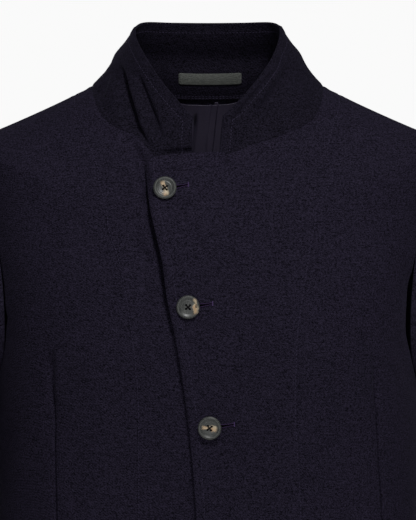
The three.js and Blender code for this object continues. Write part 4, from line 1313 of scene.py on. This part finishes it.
def label_piece():
    rows = np.linspace(4.66, 5.62, 15) / COLLAR_ROWS
    steps = collar_columns * 2 * (GORGE_COLUMNS + BACK_NECK_COLUMNS)
    back = (steps >= GORGE_COLUMNS) & (steps <= GORGE_COLUMNS + 2 * BACK_NECK_COLUMNS)
    part = np.linspace(0, 1, 61)
    c = np.zeros((len(rows), len(part)))
    for k, row in enumerate(rows):
        line = read_grid(
            collar_grid, collar_down, collar_columns, np.full(collar_columns.shape, row), collar_columns)
        c[k] = np.interp(mix(-33.5, 28.5, part), -line[back, 0], collar_columns[back])
    r = np.repeat(rows[:, None], len(part), axis=1)
    corner = 1 - 0.14 * bell(np.minimum(part, 1 - part) * 62, 0.9)
    r = rows.mean() + (r - rows.mean()) * corner
    points = read_grid(collar_grid, collar_down, collar_columns, r, c)
    normals = unit(read_grid(collar_normals, collar_down, collar_columns, r, c))
    across = np.repeat(part[None], len(rows), axis=0)
    down = (rows[:, None] - rows[0]) / (rows[-1] - rows[0])
    lift = COLLAR_CLOTH + 0.95 + 0.25 * np.sin(np.pi * across) * np.sin(np.pi * down)
    lift -= 0.35 * bell(np.minimum(across, 1 - across) * 62, 1.6)
    face = points - normals * lift[..., None]
    face = face + normals * LABEL_CLOTH
    return cloth_piece(
        "label_tape", face, normals, LABEL_CLOTH, label_tape, (0.2, 0.2, 0.2, 0.2))


label, label_parts = label_piece()


# ---- the back lining, with its pleat -------------------------------------------------------

BACK_STEP = 1 / (BACK_NECK_COLUMNS + TONGUE_COLUMNS + SHOULDER_COLUMNS)
PLEAT_TOP_X = 10.3
PLEAT_SLANT = 0.12
CREASE_X = -13.2


def lining_piece(name, side, over):
    """One half of the lining: over is how far past the pleat's edge it reaches, in millimetres."""
    rows = 0.004 + (7 / ROWS - 0.004) * spread(50, 165)
    parts = np.unique(np.concatenate([spread(46, 95), np.linspace(0, 0.06, 13), np.linspace(0.15, 0.27, 13)]))
    own, other = panels[side], panels[-side]
    fine = np.linspace(0, 0.4, 161)
    left = panels[1]
    c = np.zeros((len(rows), len(parts)))
    from_edge, crease = np.zeros_like(c), np.zeros_like(c)
    for k, row in enumerate(rows):
        line = read_grid(left["back_rows"], left["back_v"], left["back_u"], np.full(fine.shape, row), fine)
        pleat_x = max(2.0, PLEAT_TOP_X + (line[0, 2] + 3) * PLEAT_SLANT)
        reach = (pleat_x + over) * side
        start = np.interp(abs(reach), np.abs(line[:, 0]), fine) * np.sign(reach)
        c[k] = mix(start, 5 * BACK_STEP, parts)
        x = np.interp(np.abs(c[k]), fine, np.abs(line[:, 0])) * np.sign(c[k]) * side
        from_edge[k] = x - pleat_x
        crease_x = CREASE_X + PLEAT_SLANT * (line[0, 2] + 23)
        crease[k] = ease(-line[0, 2], 12, 24) * bell(x - crease_x, 1.8)
    r = np.repeat(rows[:, None], len(parts), axis=1)
    own_side = (c >= 0)[..., None]
    points = np.where(
        own_side,
        read_grid(own["back_rows"], own["back_v"], own["back_u"], r, np.abs(c)),
        read_grid(other["back_rows"], other["back_v"], other["back_u"], r, np.abs(c)))
    normals = unit(np.where(
        own_side,
        read_grid(own["back_normals"], own["back_v"], own["back_u"], r, np.abs(c)),
        read_grid(other["back_normals"], other["back_v"], other["back_u"], r, np.abs(c))))
    fall = (rows[:, None] - rows[0]) / (rows[-1] - rows[0])
    ripple = 0.5 * np.sin(from_edge / 5.1 + side) * np.sin(from_edge / 11.3 + 0.6) * (0.3 + 0.7 * fall)
    if side > 0:
        swell = 5.6 * ease(from_edge, 0.2, 0.6) * (1 - ease(from_edge, 8, 26))
        depth = 2.6 + swell
    else:
        swell = 6.2 * ease(-from_edge, 0.0, 0.4) * (1 - ease(-from_edge, 30, 48))
        depth = 3.0 + swell - 1.3 * bell(from_edge + 7.5, 1.2) - 6.0 * crease
    grid = points - normals * (depth + ripple)[..., None]
    return cloth_piece(name, grid, normals, LINING_CLOTH, lining_cloth, (0, 0.3, 0.3, 0.3))[0]


lining_left = lining_piece("lining_left_satin", 1, -3.0)
lining_right = lining_piece("lining_right_satin", -1, 0.0)


# ---- topstitching --------------------------------------------------------------------------

work = Needlework()
for side in (1, -1):
    for key, edges in (
        ("front", [
            ("last", SEAM_STITCH, 0.03, 1.0), ("first", EDGE_STITCH, 0.02, 1.0),
            ("top", TOP_EDGE_STITCH, 0.03, 0.34),
        ]),
        ("side_front", [("last", 1.8, 0.46, 1.0)]),
        ("back", [("first", SEAM_STITCH, 0.0, 1.0), ("top", SEAM_STITCH, 0.42, 1.0)]),
    ):
        grid = panels[side][f"{key}_rows"]
        tree = panels[side][key][1]["outside"]
        for edge, distance, start, end in edges:
            work.run(inset_line(grid, edge, distance, start, end), tree)
seam_stitches = work.finish("seam_topstitching", seam_thread, "cloth")

work = Needlework()
work.run(inset_line(collar_grid, "top", COLLAR_STITCH, 0.02, 0.98), collar_parts["outside"])
work.run(inset_line(collar_grid, "top", COLLAR_STITCH, 0.02, 0.98), collar_parts["inside"])
work.run(inset_line(collar_grid, "first", COLLAR_STITCH, 0.12, 1.0), collar_parts["outside"])
work.run(inset_line(collar_grid, "last", COLLAR_STITCH, 0.12, 1.0), collar_parts["outside"])
work.run(inset_line(collar_grid, "bottom", COLLAR_SEAM_STITCH, 0.32, 0.68), collar_parts["inside"], width=0.2)
work.run(inset_line(collar_grid, "bottom", 4.0, 0.32, 0.68), collar_parts["inside"], width=0.2)
collar_stitches = work.finish("collar_topstitching", seam_thread, "cloth")

label_work = Needlework()
for edge in ("first", "last"):
    label_line = inset_line(label_parts["grid"], edge, 1.2, 0.05, 0.95)
    label_work.run(label_line, label_parts["inside"], 1.6, 1.2, 0.16, 0.14)
label_stitches = label_work.finish("label_stitches", seam_thread, "cloth")


# ---- buttons -------------------------------------------------------------------------------

def on_left_front(x, z):
    """Where a spot as seen from the front lies on the left front's cloth, with the way out there."""
    tree = panels[1]["front"][1]["outside"]
    eye = Vector((0, CHEST_FRONT - VIEW_DISTANCE, VIEW_HEIGHT))
    aim = Vector((x, CHEST_FRONT, z)) - eye
    hit, normal, _, _ = tree.ray_cast(eye, aim.normalized())
    normal = np.array(normal)
    return np.array(hit), normal if normal[1] < 0 else -normal


def button_seat(x, z):
    reach = 0.85 * BUTTON_RADIUS
    across = on_left_front(x + reach, z)[0] - on_left_front(x - reach, z)[0]
    up = on_left_front(x, z + reach)[0] - on_left_front(x, z - reach)[0]
    normal = unit(np.cross(across, up))
    normal = normal if normal[1] < 0 else -normal
    normal = unit(normal + np.array([0, -1.0, 0]))
    centre = on_left_front(x, z)[0]
    rim = [centre]
    for k in range(12):
        turn = math.radians(30 * k)
        rim.append(on_left_front(x + reach * math.cos(turn), z + reach * math.sin(turn))[0])
    highest = max(float(point @ normal) for point in rim)
    return centre + normal * (highest - centre @ normal + BUTTON_LIFT), normal


def model_button():
    """A dished horn button with a raised rim and four holes, lying flat at the origin, in metres."""
    bpy.ops.object.select_all(action="DESELECT")
    r, h = BUTTON_RADIUS * MM, BUTTON_THICKNESS * MM
    bpy.ops.mesh.primitive_cylinder_add(vertices=80, radius=r, depth=h, location=(0, 0, h / 2))
    button = bpy.context.object
    bpy.ops.object.transform_apply(location=True, rotation=True, scale=True)
    bpy.ops.object.mode_set(mode="EDIT")
    bpy.ops.mesh.select_mode(type="FACE")

    def pick(test):
        mesh = bmesh.from_edit_mesh(button.data)
        for item in (*mesh.verts, *mesh.edges, *mesh.faces):
            item.select_set(False)
        for face in mesh.faces:
            if test(face):
                face.select_set(True)
        bmesh.update_edit_mesh(button.data)

    pick(lambda face: face.normal.z > 0.9)
    for thickness, depth in (
        (0.10, 0.0), (0.09, 0.0), (0.08, -0.16), (0.14, -0.16), (0.05, 0.05), (0.1, -0.08), (0.2, -0.03),
    ):
        bpy.ops.mesh.inset(thickness=thickness * r, depth=depth * h)
    pick(lambda face: face.normal.z < -0.9)
    bpy.ops.mesh.inset(thickness=0.24 * r, depth=0.0)
    mesh = bmesh.from_edit_mesh(button.data)
    for vertex in mesh.verts:
        far = math.hypot(vertex.co.x, vertex.co.y)
        if far > 0.995 * r and vertex.co.z < 0.1 * h:
            vertex.co.x *= 0.93
            vertex.co.y *= 0.93
            vertex.co.z += 0.22 * h
        elif far > 0.995 * r:
            vertex.co.z -= 0.3 * h
    bmesh.update_edit_mesh(button.data)
    bpy.ops.object.mode_set(mode="OBJECT")
    for k in range(4):
        turn = math.radians(45 + 90 * k)
        place = BUTTON_HOLE_OFFSET * MM * math.sqrt(2)
        bpy.ops.object.select_all(action="DESELECT")
        bpy.ops.mesh.primitive_cylinder_add(
            vertices=20, radius=BUTTON_HOLE_RADIUS * MM, depth=4 * h,
            location=(place * math.cos(turn), place * math.sin(turn), h / 2))
        drill = bpy.context.object
        cut = button.modifiers.new("drill", "BOOLEAN")
        cut.operation, cut.solver, cut.object = "DIFFERENCE", "EXACT", drill
        bpy.ops.object.select_all(action="DESELECT")
        bpy.context.view_layer.objects.active = button
        button.select_set(True)
        bpy.ops.object.modifier_apply(modifier="drill")
        bpy.data.objects.remove(drill)
    soften = button.modifiers.new("soften", "BEVEL")
    soften.width, soften.segments = 0.00022, 3
    soften.limit_method, soften.angle_limit = "ANGLE", math.radians(28)
    bpy.ops.object.modifier_apply(modifier="soften")
    bpy.ops.object.shade_smooth_by_angle(angle=math.radians(40))
    return button


def model_button_thread():
    """Two crossed bundles of thread through the four holes, over the button's dish."""
    top = 0.62 * BUTTON_THICKNESS * MM
    strands = []
    for turn in (45, 135):
        for shift in (-0.00036, 0.0, 0.00036):
            bpy.ops.object.select_all(action="DESELECT")
            bpy.ops.mesh.primitive_torus_add(
                major_radius=0.0040, minor_radius=0.00025, major_segments=64, minor_segments=8,
                location=(0, 0, 0), rotation=(math.pi / 2, 0, 0))
            strand = bpy.context.object
            bpy.ops.object.transform_apply(location=True, rotation=True, scale=True)
            bpy.ops.object.mode_set(mode="EDIT")
            bpy.ops.mesh.select_all(action="SELECT")
            bpy.ops.mesh.bisect(plane_co=(0, 0, 0.0022), plane_no=(0, 0, 1), use_fill=True, clear_inner=True)
            bpy.ops.object.mode_set(mode="OBJECT")
            lift = top + 0.0009 - 0.0040 + (0.00018 if turn == 135 else 0) - abs(shift) * 0.25
            turned = Matrix.Rotation(math.radians(turn), 4, "Z") @ Matrix.Translation((0, shift, 0))
            strand.data.transform(Matrix.Translation((0, 0, lift)) @ turned)
            strands.append(strand)
    bpy.ops.object.select_all(action="DESELECT")
    for strand in strands:
        strand.select_set(True)
    bpy.context.view_layer.objects.active = strands[0]
    bpy.ops.object.join()
    thread = bpy.context.object
    bpy.ops.object.shade_smooth()
    return thread


model = model_button()
thread_model = model_button_thread()
buttons = []
for n, (x, z, hole_turn, streak_turn, streak_shift) in enumerate(BUTTONS):
    centre, normal = button_seat(x, z)
    facing = Vector((0, 0, 1)).rotation_difference(Vector(normal)).to_matrix().to_4x4()
    level = Matrix.Rotation(math.radians(hole_turn - 45), 4, "Z")
    place = Matrix.Translation(Vector(centre * MM)) @ facing @ level
    for source, name, finish in (
        (model, "horn_button", horn), (thread_model, "button_thread", button_thread),
    ):
        mesh = source.data.copy()
        mesh.name = f"{name}_{n + 1}"
        for layer in list(mesh.uv_layers):
            mesh.uv_layers.remove(layer)
        mesh.transform(place)
        if source is model:
            face = mesh.uv_layers.new(name="cloth_grain")
            turn = math.radians(streak_turn)
            for corner in mesh.loops:
                spot = (mesh.vertices[corner.vertex_index].co - Vector(centre * MM)) / (BUTTON_RADIUS * MM)
                face.data[corner.index].uv = (
                    spot.x * math.cos(turn) + spot.z * math.sin(turn) - streak_shift,
                    -spot.x * math.sin(turn) + spot.z * math.cos(turn))
        mesh.materials.clear()
        mesh.materials.append(finish)
        piece = bpy.data.objects.new(mesh.name, mesh)
        bpy.context.scene.collection.objects.link(piece)
        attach(piece, "root")
        if source is model:
            buttons.append(piece)
for source in (model, thread_model):
    bpy.data.objects.remove(source)


# ---- buttonholes ---------------------------------------------------------------------------

purl, cord_and_slit_shadow, bars = Needlework(), Needlework(), Needlework()
random.seed(4)
for n, (x, z, _, _, _) in enumerate(BUTTONS):
    start, end = x + 4, x + (21.4 if n == 0 else 22.6)
    slope = 0.20 if n == 0 else 0.16

    def slit(part):
        """The slit's middle, a part of its length along, as seen from the front."""
        return mix(start, end, part), z + 1.0 + (part - 0.2) * slope * 18

    # a near-black cord along the slit, as wide as its gap: a gimp cord, and painted shadow of the open slit
    for k in range(10):
        one, normal = on_left_front(*slit(k / 10))
        two, _ = on_left_front(*slit((k + 1.15) / 10))
        half_gap = mix(1.5, 0.6, ease(k, 1, 8))
        cord_and_slit_shadow.add(*capsule(one + normal * 0.5, two + normal * 0.5, normal, half_gap, 0.3))
    for sign in (1, -1):
        for k in range(30):
            part = (k + 0.5) / 30
            spot_x, spot_z = slit(part)
            half_gap = mix(1.5, 0.6, ease(part, 0.1, 0.8))
            inner, normal = on_left_front(spot_x, spot_z + sign * (half_gap - 0.1))
            outer, _ = on_left_front(spot_x + random.uniform(-0.12, 0.12), spot_z + sign * (half_gap + 0.8))
            purl.add(*capsule(inner + normal * 0.6, outer + normal * 0.3, normal, 0.34, 0.36))
    for k in range(7):
        spot_z = slit(1.0)[1] + mix(-2.1, 2.1, (k + 0.5) / 7)
        one, normal = on_left_front(end - 0.5, spot_z)
        two, _ = on_left_front(end + 0.8, spot_z + 0.1)
        bars.add(*capsule(one + normal * 0.5, two + normal * 0.4, normal, 0.42, 0.36))
buttonholes = purl.finish("buttonhole_purl", buttonhole_thread, "cloth")
buttonhole_cords_and_shadow = cord_and_slit_shadow.finish("buttonhole_cord_and_slit_shadow", slit_cord_and_shadow_finish, "cloth")
buttonhole_bars = bars.finish("buttonhole_bars", bar_thread, "cloth")


# ---- what stands for what: the model's parts that the new pieces replace are hidden --------

for side, name in ((1, "left"), (-1, "right")):
    for key in ("front", "side_front", "back"):
        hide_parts(f"{key}_{name}")
    for key in ("top_sleeve", "under_sleeve"):
        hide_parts(f"{key}_{name}")
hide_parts("collar")
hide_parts("label")
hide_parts("lining_left")
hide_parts("lining_right")
for n, button in enumerate(buttons):
    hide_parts(f"button_{n + 1}")


# ---- floor, light and camera ---------------------------------------------------------------

bpy.ops.object.select_all(action="DESELECT")
bpy.ops.mesh.primitive_plane_add(size=14, location=(0, 0, -0.9))
floor = bpy.context.object
floor.name = "pale_floor"
bpy.ops.object.transform_apply(location=True, rotation=True, scale=True)
floor.data.materials.append(make_floor_finish())

scene = bpy.context.scene
world = bpy.data.worlds.new("pale_studio")
scene.world = world
world.use_nodes = True
bench = Bench(world.node_tree)
world.node_tree.nodes.clear()
soft_light = bench.node("ShaderNodeBackground")
soft_light.inputs["Color"].default_value = (0.95, 0.96, 1.0, 1.0)
soft_light.inputs["Strength"].default_value = 0.085
pale_wall = bench.node("ShaderNodeBackground")
pale_wall.inputs["Color"].default_value = (0.955, 0.955, 0.955, 1.0)
pale_wall.inputs["Strength"].default_value = 1.0
seen_by = bench.node("ShaderNodeLightPath")
either = bench.node("ShaderNodeMixShader")
bench.join(seen_by.outputs["Is Camera Ray"], either.inputs["Fac"])
bench.join(soft_light.outputs["Background"], either.inputs[1])
bench.join(pale_wall.outputs["Background"], either.inputs[2])
world_out = bench.node("ShaderNodeOutputWorld")
bench.join(either.outputs["Shader"], world_out.inputs["Surface"])
scene.view_settings.view_transform = "Standard"
scene.view_settings.look = "None"


def soft_lamp(name, place, aim, size, watts):
    lamp = bpy.data.lights.new(name, "AREA")
    lamp.shape, lamp.size, lamp.energy = "SQUARE", size, watts
    holder = bpy.data.objects.new(name, lamp)
    scene.collection.objects.link(holder)
    holder.location = place
    holder.rotation_euler = (Vector(aim) - Vector(place)).to_track_quat("-Z", "Y").to_euler()
    return holder


soft_lamp("key_softbox", (0.7, -2.2, 2.4), (0, 0, -0.12), 0.7, 83)
soft_lamp("front_softbox", (-0.3, -4.2, -0.1), (0, 0, -0.2), 1.4, 22)
soft_lamp("back_softbox", (-0.3, 4.0, -0.1), (0, 0, -0.4), 1.4, 105)

lens = bpy.data.cameras.new("photo_camera")
lens.sensor_fit = "VERTICAL"
lens.sensor_height = 36
lens.lens = 36 * 3.0 / 0.4784
lens.clip_end = 50
camera = bpy.data.objects.new("photo_camera", lens)
scene.collection.objects.link(camera)
camera.location = (0.0005, -3.110, -0.158)
camera.rotation_euler = (math.pi / 2, 0, 0)
scene.camera = camera
